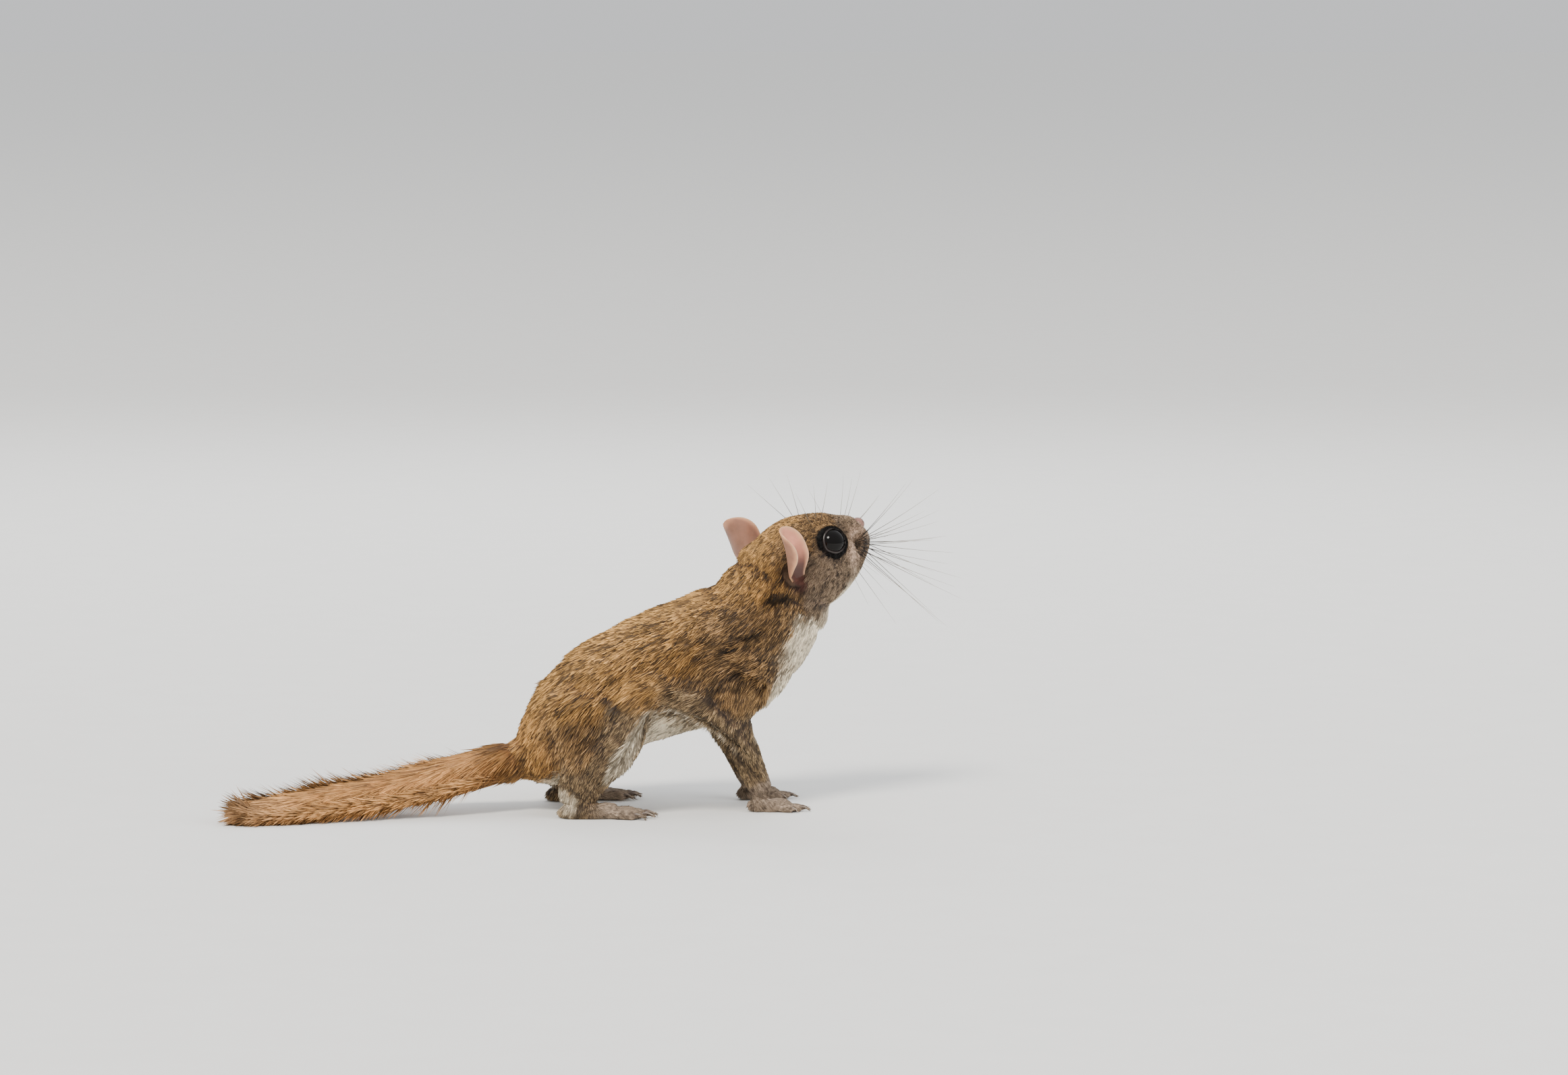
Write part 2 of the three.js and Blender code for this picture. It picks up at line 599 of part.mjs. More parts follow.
// Head and trunk, parted by two thin cuts
const HEAD_CUT = { at: vec(67.6, 0, 66.1), normal: vec(0.665, 0.1, 0.746) };
const NECK_CUT = { at: vec(61, 0, 54.6), normal: vec(0.73, 0, 0.684) };
const behind = ({ at, normal }) => beyond(at, normal.clone().negate());
const pastSeam = ({ at, normal }) => beyond(at.clone().addScaledVector(normal.clone().normalize(), SEAM), normal);

const trunk = trunkSolid();
const trunkGrown = trunkSolid(SEAM);
const whole = trunk.add(headSolid());
const wholeGrown = trunkGrown.add(headSolid(SEAM));

let head = whole.intersect(pastSeam(HEAD_CUT));
for (const [, side] of SIDES) head = head.add(lidSolid(side));
for (const [, side] of SIDES) {
  head = head.subtract(eyeSolid(side, SEAM)).subtract(padSolid(side, SEAM));
}
head = head.subtract(noseSolid(SEAM)).subtract(mouthSolid());
addNode('head', head, FACE_COAT);
addNode('neck', whole.intersect(behind(HEAD_CUT)).intersect(pastSeam(NECK_CUT)), COAT);
addNode('torso', whole.intersect(behind(NECK_CUT)), COAT);

let nose = noseSolid();
for (const [, side] of SIDES) nose = nose.subtract(nostrilSolid(side));
addNode('nose', nose, NOSE_SKIN);

for (const [label, side] of SIDES) {
  addNode('eye_' + label, eyeSolid(side), EYE_GLOSS);
  addNode('ear_' + label, earSolid(side).subtract(wholeGrown), EAR_SKIN);
  const pad = padSolid(side).subtract(noseSolid(SEAM));
  const face = headSolid(SEAM).subtract(padSolid(side, SEAM));
  const hairs = wasm.Manifold.union(whiskerSolid(side)).subtract(face).subtract(noseSolid(SEAM));
  addNode('whiskers_' + label, pad.add(hairs), WHISKER);

  const thigh = thighSolid(side).subtract(wholeGrown);
  const bodyAndThigh = wholeGrown.add(thighSolid(side, SEAM));
  const foot = hindFootSolid(side);
  const overFoot = above(HIND_FOOT_TOP + SEAM);
  const shin = shinSolid(side).subtract(bodyAndThigh).intersect(overFoot);
  addNode('thigh_' + label, thigh, COAT);
  addNode('shin_' + label, shin, COAT);
  addNode('hind_foot_' + label, foot.subtract(above(HIND_FOOT_TOP)), FOOT_SKIN);

  const foreleg = forelegSolid(side).subtract(wholeGrown);
  addNode('foreleg_' + label, foreleg.intersect(above(FORE_FOOT_TOP + SEAM)), COAT);
  addNode('forefoot_' + label, foreFootSolid(side).subtract(above(FORE_FOOT_TOP)), FOOT_SKIN);

  const limbs = bodyAndThigh.add(shinSolid(side, SEAM)).add(forelegSolid(side, SEAM));
  const membrane = membraneSolid(side).subtract(limbs).intersect(overFoot);
  addNode('gliding_membrane_' + label, membrane, MEMBRANE_COAT);
}

let tailCut = wholeGrown;
for (const [, side] of SIDES) tailCut = tailCut.add(thighSolid(side, SEAM));
addNode('tail', tailSolid().subtract(tailCut), TAIL_COAT);

// The origin is on the floor under the middle of the whole animal.
const middle = new THREE.Box3().setFromObject(squirrel, true).getCenter(vec(0, 0, 0));
squirrel.position.set(-middle.x, -middle.y, 0);

export default squirrel;
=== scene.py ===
"""Flying squirrel: skin, coat and fine parts of a still, life-size model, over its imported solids.

Laid out as an add-on: each operator makes one piece or one group of like pieces, main() calls them in
order. Shapes are worked out in millimetres in the animal's own drawing, where the tail root is near
x = 0 and the soles are at z = 0, and placed() brings them into the frame.
"""

import math

import bmesh
import bpy
import numpy as np
from bpy.props import FloatProperty, FloatVectorProperty, IntProperty, PointerProperty
from bpy.types import Operator, Panel, PropertyGroup
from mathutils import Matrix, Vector
from mathutils.kdtree import KDTree


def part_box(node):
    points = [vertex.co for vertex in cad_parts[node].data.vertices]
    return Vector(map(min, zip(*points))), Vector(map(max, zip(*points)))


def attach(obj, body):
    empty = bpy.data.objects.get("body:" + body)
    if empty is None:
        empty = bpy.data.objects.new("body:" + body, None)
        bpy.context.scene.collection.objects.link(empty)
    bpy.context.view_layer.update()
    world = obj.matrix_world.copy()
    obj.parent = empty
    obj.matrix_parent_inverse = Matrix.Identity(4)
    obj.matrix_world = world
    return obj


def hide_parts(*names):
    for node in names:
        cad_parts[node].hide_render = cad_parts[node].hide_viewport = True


bl_info = {
    "name": "Flying Squirrel Model",
    "version": (1, 0, 0),
    "blender": (4, 5, 0),
    "location": "View3D > Sidebar > Squirrel",
    "description": "Skin, coat, eyes, ears, whiskers and claws of a life-size flying squirrel",
    "category": "Add Mesh",
}

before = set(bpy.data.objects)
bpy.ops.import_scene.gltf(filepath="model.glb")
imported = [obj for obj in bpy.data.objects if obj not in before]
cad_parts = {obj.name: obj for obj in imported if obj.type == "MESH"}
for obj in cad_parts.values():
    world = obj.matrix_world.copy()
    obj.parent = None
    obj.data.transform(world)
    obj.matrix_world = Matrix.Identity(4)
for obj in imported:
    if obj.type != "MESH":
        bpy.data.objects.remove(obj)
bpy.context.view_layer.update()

RIGHT, LEFT = -1, 1
MM = 0.001

# The head's own directions, from its pitch and its turn to the left
PITCH, YAW = math.radians(37), math.radians(17)
HEAD_AT = np.array([73.4, 0.0, 73.2])
AHEAD = np.array([math.cos(PITCH) * math.cos(YAW), math.cos(PITCH) * math.sin(YAW), math.sin(PITCH)])
ASIDE = np.array([-math.sin(YAW), math.cos(YAW), 0.0])
ABOVE = np.cross(AHEAD, ASIDE)

EYE_AT = (8.5, 7.5, 0.4)
EYE_LOOK = np.array([0.32, 0.92, 0.2]) / np.linalg.norm([0.32, 0.92, 0.2])
EAR_ROOT = (-6.8, 11.3, 0.6)
EAR_UP = np.array([0.05, 0.47, 0.88]) / np.linalg.norm([0.05, 0.47, 0.88])
PAD_AT = (16.8, 5.3, -6.3)
NOSE_AT = (21.4, 0.0, -3.7)

# The tail: its line, half its width and thickness out to the tips, and the share that is not hair
TAIL_PATH = [(-3, 0, 17), (-20, -1.5, 13.3), (-44, -5, 8.2), (-69, -10.5, 4.9), (-95, -17, 2.6)]
TAIL_HALF = [6.5, 8, 10.5, 12, 12, 11, 9, 6]
TAIL_THICK = [6.4, 6.6, 5.9, 4.8, 4, 3.3, 2.8, 2]
TAIL_CORE = [0.95, 0.8, 0.62, 0.55, 0.5, 0.5, 0.5, 0.5]
TAIL_LENGTH = 88
TAIL_ROLL = 28

# The feet, as their solids have them: heel, heading, length, toes, fan, half width, height, claw
HIND_FOOT = dict(heel=(0.5, 17.5), heading=7, length=29, toes=5, fan=34, half=3.4, high=5, thick=1.15, claw=2.6)
FORE_FOOT = dict(heel=(60, 12.5), heading=5, length=15.5, toes=4, fan=44, half=2.7, high=4, thick=0.95, claw=2)

# How deep the coat stands over the skin on each solid of flesh, in millimetres
COAT_DEPTH = {
    "head": 1.1,
    "neck": 2.5,
    "torso": 2.8,
    "thigh_right": 2.6,
    "thigh_left": 2.6,
    "shin_right": 1.1,
    "shin_left": 1.1,
    "hind_foot_right": 0.2,
    "hind_foot_left": 0.2,
    "foreleg_right": 0.9,
    "foreleg_left": 0.9,
    "forefoot_right": 0.15,
    "forefoot_left": 0.15,
    "gliding_membrane_right": 0.5,
    "gliding_membrane_left": 0.5,
    "tail": 0.3,
}

# Guide spots on the body: place and lie as (ahead, outwards, up), hair length, width, colour.
BODY_GUIDES = [
    ("nape", (60, 0, 69), (-0.65, 0, -0.76), 6.0, 0.24, "golden"),
    ("withers", (46, 0, 66), (-0.92, 0, -0.38), 7.5, 0.27, "golden"),
    ("back", (32, 0, 60), (-0.9, 0, -0.43), 8.0, 0.27, "golden"),
    ("loin", (12, 0, 50), (-0.8, 0, -0.6), 8.5, 0.27, "golden"),
    ("croup", (0, 0, 40), (-0.65, 0, -0.76), 8.0, 0.27, "golden"),
    ("rump", (-8, 0, 27), (-0.6, 0, -0.8), 7.0, 0.27, "tawny"),
    ("side of the neck", (60, 11, 55), (-0.75, 0.1, -0.62), 6.0, 0.25, "grizzled"),
    ("shoulder", (52, 17, 48), (-0.93, 0.15, -0.3), 6.5, 0.25, "grizzled"),
    ("ribs", (38, 19, 47), (-0.72, 0.05, -0.68), 8.0, 0.27, "golden"),
    ("low ribs", (40, 19, 40), (-0.5, 0.1, -0.85), 7.0, 0.26, "grizzled"),
    ("flank", (25, 19.5, 42), (-0.7, 0.05, -0.7), 8.0, 0.27, "golden"),
    ("hip", (8, 19, 38), (-0.55, 0.05, -0.83), 8.5, 0.27, "golden"),
    ("thigh", (8, 21, 26), (-0.4, 0, -0.9), 7.0, 0.26, "grizzled"),
    ("knee", (22, 19, 27), (-0.35, 0.1, -0.92), 5.0, 0.25, "grey"),
    ("low rump", (-6, 10, 15), (-0.6, 0.1, -0.75), 6.0, 0.25, "tawny"),
    ("membrane middle", (40, 20, 36), (-0.88, 0.15, -0.45), 6.0, 0.25, "grey"),
    ("membrane front", (54, 16, 24), (-0.55, 0.15, -0.8), 4.5, 0.24, "grey"),
    ("membrane behind", (18, 21, 24), (-0.8, 0.15, -0.55), 5.0, 0.24, "grey"),
    ("membrane edge", (37, 24.5, 30.5), (-0.88, 0.3, -0.3), 3.6, 0.2, "grey"),
    ("membrane edge front", (48, 22.5, 25), (-0.7, 0.3, -0.6), 3.6, 0.2, "grey"),
    ("membrane edge behind", (22, 25, 25), (-0.55, 0.3, -0.75), 3.6, 0.2, "grey"),
    ("breast", (66, 3, 40), (-0.35, 0, -0.93), 7.0, 0.25, "cream"),
    ("side of the breast", (60, 13, 41), (-0.9, 0.2, -0.35), 6.5, 0.25, "grizzled"),
    ("throat", (75, 0, 55), (-0.5, 0, -0.85), 5.0, 0.22, "cream"),
    ("side of the throat", (72, 8, 54), (-0.6, 0.1, -0.75), 5.5, 0.22, "cream"),
    ("angle of the throat", (66, 11.5, 56), (-0.65, 0.1, -0.72), 5.5, 0.22, "grizzled"),
    ("belly front", (48, 0, 24), (-0.95, 0, -0.3), 6.0, 0.25, "cream"),
    ("belly", (25, 0, 18), (-0.95, 0, -0.3), 6.0, 0.25, "cream"),
    ("belly side", (32, 12, 24), (-0.9, 0.2, -0.3), 6.0, 0.25, "cream"),
    ("groin", (6, 4, 9), (-0.95, 0, -0.3), 5.0, 0.25, "cream"),
    ("upper foreleg", (54, 17, 38), (-0.25, 0.1, -0.95), 4.5, 0.22, "grizzled"),
    ("elbow", (52, 15, 28), (-0.1, 0.05, -0.98), 3.6, 0.2, "grey"),
    ("lower foreleg", (57, 14, 16), (0.25, 0, -0.96), 2.6, 0.18, "grey"),
    ("inside of the foreleg", (57, 9, 24), (0.05, 0, -1), 3.2, 0.2, "cream"),
    ("wrist", (62, 12.5, 7), (0.6, 0, -0.8), 1.8, 0.16, "foot"),
    ("forefoot", (69, 13.5, 3), (1, 0.05, -0.1), 1.2, 0.14, "foot"),
    ("shin", (16, 18, 16), (-0.65, 0, -0.75), 4.0, 0.22, "grey"),
    ("ankle", (5, 17.5, 7), (-0.3, 0, -0.95), 2.6, 0.18, "grey"),
    ("hind foot", (16, 19.5, 4), (1, 0.1, -0.05), 1.6, 0.15, "foot"),
    ("toes", (25, 20.5, 2), (1, 0.1, -0.1), 1.2, 0.13, "foot"),
]

# Guide spots on the head, in its own directions.
HEAD_GUIDES = [
    ("crown", (-8, 0, 12), (-1, 0, -0.15), 3.6, 0.19, "golden"),
    ("occiput", (-16, 0, 5), (-1, 0, -0.5), 5.0, 0.22, "golden"),
    ("forehead", (5, 0, 12), (-1, 0, 0.1), 2.6, 0.16, "golden"),
    ("bridge", (13, 0, 7), (-1, 0, 0.5), 1.5, 0.13, "grizzled"),
    ("end of the snout", (19, 0, 2), (-1, 0, 0.6), 0.9, 0.1, "pale grey"),
    ("side of the snout", (14, 6, 1), (-1, 0.25, 0.1), 1.4, 0.12, "pale grey"),
    ("whisker pad", (16.8, 7, -6), (-1, 0.3, -0.1), 1.1, 0.1, "pad"),
    ("lip", (16, 4, -9.5), (-1, 0.2, -0.2), 1.1, 0.1, "pale grey"),
    ("chin", (15, 0, -13), (-1, 0, -0.1), 1.5, 0.13, "cream"),
    ("jaw", (4, 6, -15), (-1, 0.05, -0.1), 3.0, 0.17, "cream"),
    ("cheek", (5, 12, -7), (-1, 0.2, -0.25), 2.4, 0.15, "pale grey"),
    ("lower cheek", (2, 11, -12), (-1, 0.15, -0.3), 3.0, 0.17, "pale grey"),
    ("hind cheek", (-6, 13, -6), (-0.95, 0.15, -0.3), 3.6, 0.18, "pale grey"),
    ("brow", (9, 7, 8), (-1, 0.3, 0.3), 1.7, 0.13, "grizzled"),
    ("temple", (0, 11.5, 5.5), (-1, 0.2, 0.0), 2.6, 0.16, "grizzled"),
    ("side of the temple", (0, 13, 1), (-1, 0.2, -0.1), 2.4, 0.15, "pale grey"),
    ("before the eye", (12.5, 6.5, 3), (-1, 0.3, 0.2), 1.5, 0.13, "grizzled"),
    ("behind the ear", (-11, 9, 2), (-1, 0.1, -0.3), 4.4, 0.2, "golden"),
    ("root of the ear", (-5, 12, -3), (-0.9, 0.15, -0.4), 3.2, 0.17, "pale grey"),
    ("below the ear", (-10, 12, -4), (-0.9, 0.1, -0.45), 4.2, 0.2, "grizzled"),
]

# The kinds of hair colour
COLOURS = ["golden", "tawny", "grizzled", "grey", "pale grey", "cream", "pad", "foot"]

# Half the opening of the lids, in degrees seen from the middle of the eye
EYE_OPEN = 51

# One tuft in this many is the middle of a lock
LOCK_TUFTS = 15


def settings():
    """The scene's own settings of this model."""
    return bpy.context.scene.squirrel


# Shapes


def placed(points):
    """The same points in the frame, in metres: x' = (x + shift) / 1000."""
    return (np.asarray(points, float) + SHIFT) * MM


def in_drawing(points):
    """The same points in the animal's own drawing, in millimetres: x = 1000 x' - shift."""
    return np.asarray(points, float) / MM - SHIFT


def unit(vectors):
    """Each vector divided by its own length."""
    return vectors / np.maximum(np.linalg.norm(vectors, axis=-1, keepdims=True), 1e-9)


def on_head(forward, out, up, side=1):
    """A point of the head: its centre + forward, out and up along the head's own directions."""
    parts = np.broadcast_arrays(*[np.asarray(v, float) for v in (forward, out, up)])
    forward, out, up = (part[..., None] for part in parts)
    return HEAD_AT + forward * AHEAD + side * out * ASIDE + up * ABOVE


def head_turned(vector, side=1):
    """A direction of the head's own, brought into the drawing."""
    return vector[0] * AHEAD + side * vector[1] * ASIDE + vector[2] * ABOVE


def find_shift():
    """How far the frame lies from the drawing: the middle of both eyes there less the same here."""
    corners = [np.array(corner) for side in ("right", "left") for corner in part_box("eye_" + side)]
    return sum(corners) / (4 * MM) - on_head(EYE_AT[0], 0, EYE_AT[2])


def curve(values, t):
    """A smooth line through evenly spaced values, read at t from 0 to 1.

    Between the neighbours p1 and p2 it is the cubic p1 + f(p2 - p0)/2 + ... of Catmull and Rom.
    """
    v = np.asarray(values, float)
    flat = v.ndim == 1
    v = v[:, None] if flat else v
    last = len(v) - 1
    at = np.clip(np.atleast_1d(np.asarray(t, float)), 0, 1) * last
    i = np.minimum(at.astype(int), last - 1)
    f = (at - i)[:, None]
    p0, p1, p2, p3 = v[np.maximum(i - 1, 0)], v[i], v[i + 1], v[np.minimum(i + 2, last)]
    out = p1 + 0.5 * f * (p2 - p0 + f * (2 * p0 - 5 * p1 + 4 * p2 - p3 + f * (3 * (p1 - p2) + p3 - p0)))
    return out[:, 0] if flat else out


def smoothstep(low, high, value):
    """0 below low, 1 above high, and 3s² - 2s³ between them."""
    s = np.clip((np.asarray(value, float) - low) / (high - low), 0, 1)
    return s * s * (3 - 2 * s)


def mixed(one, other, share):
    """one (1 - share) + other share."""
    return one * (1 - share) + other * share


def rings_to_faces(rings, around, poles):
    """Triangles between rings of points, each ring closed, with a pole after the last ring at each end."""
    i, k = np.meshgrid(np.arange(rings - 1), np.arange(around), indexing="ij")
    here, after = i * around + k, i * around + (k + 1) % around
    faces = [
        np.stack([here, here + around, after + around], -1).reshape(-1, 3),
        np.stack([here, after + around, after], -1).reshape(-1, 3),
    ]
    if poles:
        k = np.arange(around)
        start, end, last = rings * around, rings * around + 1, (rings - 1) * around
        faces.append(np.stack([np.full(around, start), k, (k + 1) % around], -1))
        faces.append(np.stack([np.full(around, end), last + (k + 1) % around, last + k], -1))
    return np.concatenate(faces)


def swept(path, side, over, rings, around, turn=None):
    """A closed tube: ring point = path(t) + across cos a side(t) + over sin a over(t).

    across is the path's direction × the vertical and over is across × the direction, both turned round
    the path by turn(t) degrees. side and over are arrays of half sizes at the rings.
    """
    t = np.linspace(0, 1, rings + 2)
    line = curve(path, t)
    along = unit(np.gradient(line, axis=0))
    across = unit(np.cross(along, (0, 0, 1)))
    up = np.cross(across, along)
    if turn is not None:
        c, s = np.cos(np.radians(turn))[:, None], np.sin(np.radians(turn))[:, None]
        across, up = across * c - up * s, up * c + across * s
    a = np.arange(around) * 2 * np.pi / around
    ring = (
        line[1:-1, None]
        + across[1:-1, None] * (np.cos(a)[None, :, None] * side[1:-1, None, None])
        + up[1:-1, None] * (np.sin(a)[None, :, None] * over[1:-1, None, None])
    )
    points = np.concatenate([ring.reshape(-1, 3), line[:1], line[-1:]])
    return points, rings_to_faces(rings, around, True)


def round_ends(t, start, end):
    """A factor that rises as a quarter circle over the first share start and falls over the last share end."""
    near = np.where(t < start, 1 - t / start, np.where(t > 1 - end, (t - 1 + end) / end, 0))
    return np.sqrt(np.clip(1 - near * near, 0, 1))


def outward(points, faces):
    """The faces, turned over if they enclose a negative volume, the sum of a · (b × c) / 6."""
    a, b, c = (points[faces[:, n]] for n in range(3))
    volume = np.einsum("ij,ij->i", a, np.cross(b, c)).sum()
    return faces[:, ::-1] if volume < 0 else faces


def joined(pieces):
    """Several (points, faces) as one."""
    offset, points, faces = 0, [], []
    for p, f in pieces:
        points.append(p)
        faces.append(outward(p, f) + offset)
        offset += len(p)
    return np.concatenate(points), np.concatenate(faces)


def make_mesh(name, points, faces, normals=None):
    """A mesh from whole arrays, smooth, its points given in the drawing."""
    mesh = bpy.data.meshes.new(name)
    mesh.vertices.add(len(points))
    mesh.vertices.foreach_set("co", placed(points).astype(np.float32).ravel())
    mesh.loops.add(faces.size)
    mesh.loops.foreach_set("vertex_index", np.ascontiguousarray(faces, np.int32).ravel())
    mesh.polygons.add(len(faces))
    mesh.polygons.foreach_set("loop_start", np.arange(0, faces.size, faces.shape[1], dtype=np.int32))
    mesh.polygons.foreach_set("use_smooth", np.ones(len(faces), bool))
    mesh.update(calc_edges=True)
    if normals is not None:
        mesh.normals_split_custom_set_from_vertices(normals.astype(np.float32))
    return mesh


def rows_of(items, name, width, kind=np.float32):
    """One value of all items of a mesh, as rows of that width."""
    values = np.empty(len(items) * width, kind)
    items.foreach_get(name, values)
    return values.reshape(-1, width)


def tree_of(points):
    """A search tree over the points."""
    tree = KDTree(len(points))
    for i, point in enumerate(points):
        tree.insert(point, i)
    tree.balance()
    return tree


def paint(mesh, name, values):
    """A colour for each point, as an attribute that a material reads."""
    attribute = mesh.color_attributes.new(name, "FLOAT_COLOR", "POINT")
    full = np.ones((len(values), 4), np.float32)
    full[:, : values.shape[1]] = values
    attribute.data.foreach_set("color", full.ravel())


def add_piece(mesh, material, replaced=()):
    """The mesh as an object at the origin that rides on the body, with the material given."""
    piece = bpy.data.objects.new(mesh.name, mesh)
    bpy.context.scene.collection.objects.link(piece)
    mesh.materials.append(material)
    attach(piece, "root")
    if replaced:
        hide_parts(*replaced)
    return piece


def linear(colour):
    """A screen colour as light: ((c + 0.055) / 1.055) to the power 2.4."""
    c = np.asarray(colour, float)
    return np.where(c <= 0.04045, c / 12.92, ((c + 0.055) / 1.055) ** 2.4)


# Noise, the same every run


def noise(points, size, seed):
    """Smooth noise from -1 to 1: random values on a grid of that size, blended by 3s² - 2s³."""
    grid = np.random.default_rng(seed).uniform(-1, 1, (32, 32, 32))
    at = points / size
    base = np.floor(at).astype(int)
    f = at - base
    f = f * f * (3 - 2 * f)
    total = 0
    for dx in (0, 1):
        for dy in (0, 1):
            for dz in (0, 1):
                w = (
                    (f[:, 0] if dx else 1 - f[:, 0])
                    * (f[:, 1] if dy else 1 - f[:, 1])
                    * (f[:, 2] if dz else 1 - f[:, 2])
                )
                total = total + w * grid[(base[:, 0] + dx) % 32, (base[:, 1] + dy) % 32, (base[:, 2] + dz) % 32]
    return total


# Guides


def guide_table():
    """Places, lies, lengths, widths and colour numbers of all guide spots, on both sides."""
    rows = []
    for _, place, lie, length, width, colour in BODY_GUIDES:
        for side in (RIGHT, LEFT) if place[1] else (LEFT,):
            rows.append(
                (
                    (place[0], side * place[1], place[2]),
                    (lie[0], side * lie[1], lie[2]),
                    length,
                    width,
                    COLOURS.index(colour),
                )
            )
    for _, place, lie, length, width, colour in HEAD_GUIDES:
        for side in (RIGHT, LEFT) if place[1] else (LEFT,):
            rows.append((on_head(*place, side), head_turned(lie, side), length, width, COLOURS.index(colour)))
    place, lie, length, width, colour = (np.array(column) for column in zip(*rows))
    return place, unit(lie), length, width, colour.astype(int)


def guided(points, power, values, places):
    """values blended by 1 / distance to that power."""
    out = np.empty((len(points), values.shape[1]))
    for start in range(0, len(points), 40000):
        block = points[start : start + 40000]
        d2 = ((block[:, None] - places[None]) ** 2).sum(-1) + 0.3
        w = d2 ** (-power / 2)
        out[start : start + 40000] = (w / w.sum(1, keepdims=True)) @ values
    return out


def tail_place(points):
    """Each point's nearest place t on the tail's line, its offset across and over it, and the ways there."""
    t = np.linspace(0, 1, 181)
    line = curve(TAIL_PATH, t)
    along = unit(np.gradient(line, axis=0))
    across = unit(np.cross(along, (0, 0, 1)))
    up = np.cross(across, along)
    turn = np.radians(-TAIL_ROLL * np.minimum(1, t * 3) * (1 - 0.5 * t))[:, None]
    across, up = across * np.cos(turn) - up * np.sin(turn), up * np.cos(turn) + across * np.sin(turn)
    near = np.empty(len(points), int)
    for start in range(0, len(points), 40000):
        block = points[start : start + 40000]
        near[start : start + 40000] = ((block[:, None] - line[None]) ** 2).sum(-1).argmin(1)
    gap = points - line[near]
    e = np.einsum("ij,ij->i", gap, across[near])
    h = np.einsum("ij,ij->i", gap, up[near])
    return t[near], e, h, along[near], across[near], up[near]


# Colours of the coat


def palette():
    """Tip, middle and root colours of each kind of hair, as light."""
    s = settings().palette
    kinds = {
        "golden": (s.golden_tip, s.golden_middle, s.slate),
        "tawny": (s.tawny_tip, s.tawny_middle, s.slate),
        "grizzled": (s.grizzled_tip, s.grizzled_middle, s.slate),
        "grey": (s.grey_tip, s.grey_middle, s.slate),
        "pale grey": (s.pale_grey_tip, s.pale_grey_middle, s.slate),
        "cream": (s.cream_tip, s.cream_tip, s.cream_root),
        "pad": (s.pad_tip, s.pad_tip, s.pad_root),
        "foot": (s.foot_tip, s.foot_tip, s.foot_root),
    }
    return np.array([[linear(c) for c in kinds[name]] for name in COLOURS])


# Dark marks of the coat, one of them painted shade: place, half sizes along, across and over a line that rises
# forwards, and how dark
DARK_MARKS = [
    ("below the ear", (66, 12.5, 64.5), (3.8, 6, 1.7), 0.9),
    ("neck streak", (58.5, 14, 54), (5, 5, 0.8), 0.9),
    ("shoulder streak", (54, 17, 49.5), (4.6, 5, 0.7), 0.85),
    ("breast streak", (60, 14, 46.5), (3.4, 5, 0.6), 0.7),
    ("arm streak", (56, 16, 43.5), (3.4, 5, 0.6), 0.7),
    ("upper arm streak", (53.5, 17, 40), (2.6, 5, 0.8), 0.8),
    ("thigh streak", (0, 20, 33), (1.4, 5, 2.2), 0.5),
    # Painted shade in the crease of the fold before the thigh
    ("fold before the thigh", (35, 22, 38), (1.3, 5, 4.5), 0.6),
]

# Pale marks of the coat: the ends of a line, how far the mark reaches from it, and its strength
PALE_MARKS = [
    ("heel", (0.5, 19, 9), (3, 19, 6), 3.0, 1.0),
    ("edge of the rump", (-8.5, 9, 10), (2, 14, 9), 2.2, 0.8),
    ("root of the ear", (63.6, 14, 71), (65, 14, 68), 1.3, 0.5),
    ("front of the shin", (26, 20, 30), (18, 21.5, 10), 3.6, 0.75),
    ("shoulder lock", (50, 18, 51.8), (57, 16, 52.3), 0.7, 0.5),
    ("arm lock", (51, 18, 46.5), (57, 16.5, 46.8), 0.7, 0.45),
]

# The free edge of the gliding membrane, from wrist to ankle
MEMBRANE_EDGE = [
    (63, 16, 7),
    (56.5, 19.5, 17),
    (47, 22, 26),
    (37, 24, 31.5),
    (27.5, 25, 33.5),
    (23, 24.5, 26.5),
    (18.5, 23.5, 19.5),
    (14, 21, 8.5),
]

# How many locks of each colour's hair are dark, as in a coat that parts over slate underfur
STREAKS = {"golden": 0.22, "tawny": 0.18, "grizzled": 0.34, "grey": 0.42, "pale grey": 0.14}


def line_gap(points, ends):
    """The distance from each point to the nearest part of a line of straight pieces."""
    ends = np.asarray(ends, float)
    nearest = np.full(len(points), np.inf)
    for start, end in zip(ends[:-1], ends[1:]):
        way = end - start
        share = np.clip(((points - start) @ way) / (way @ way), 0, 1)
        nearest = np.minimum(nearest, np.linalg.norm(points - start - share[:, None] * way, axis=1))
    return nearest


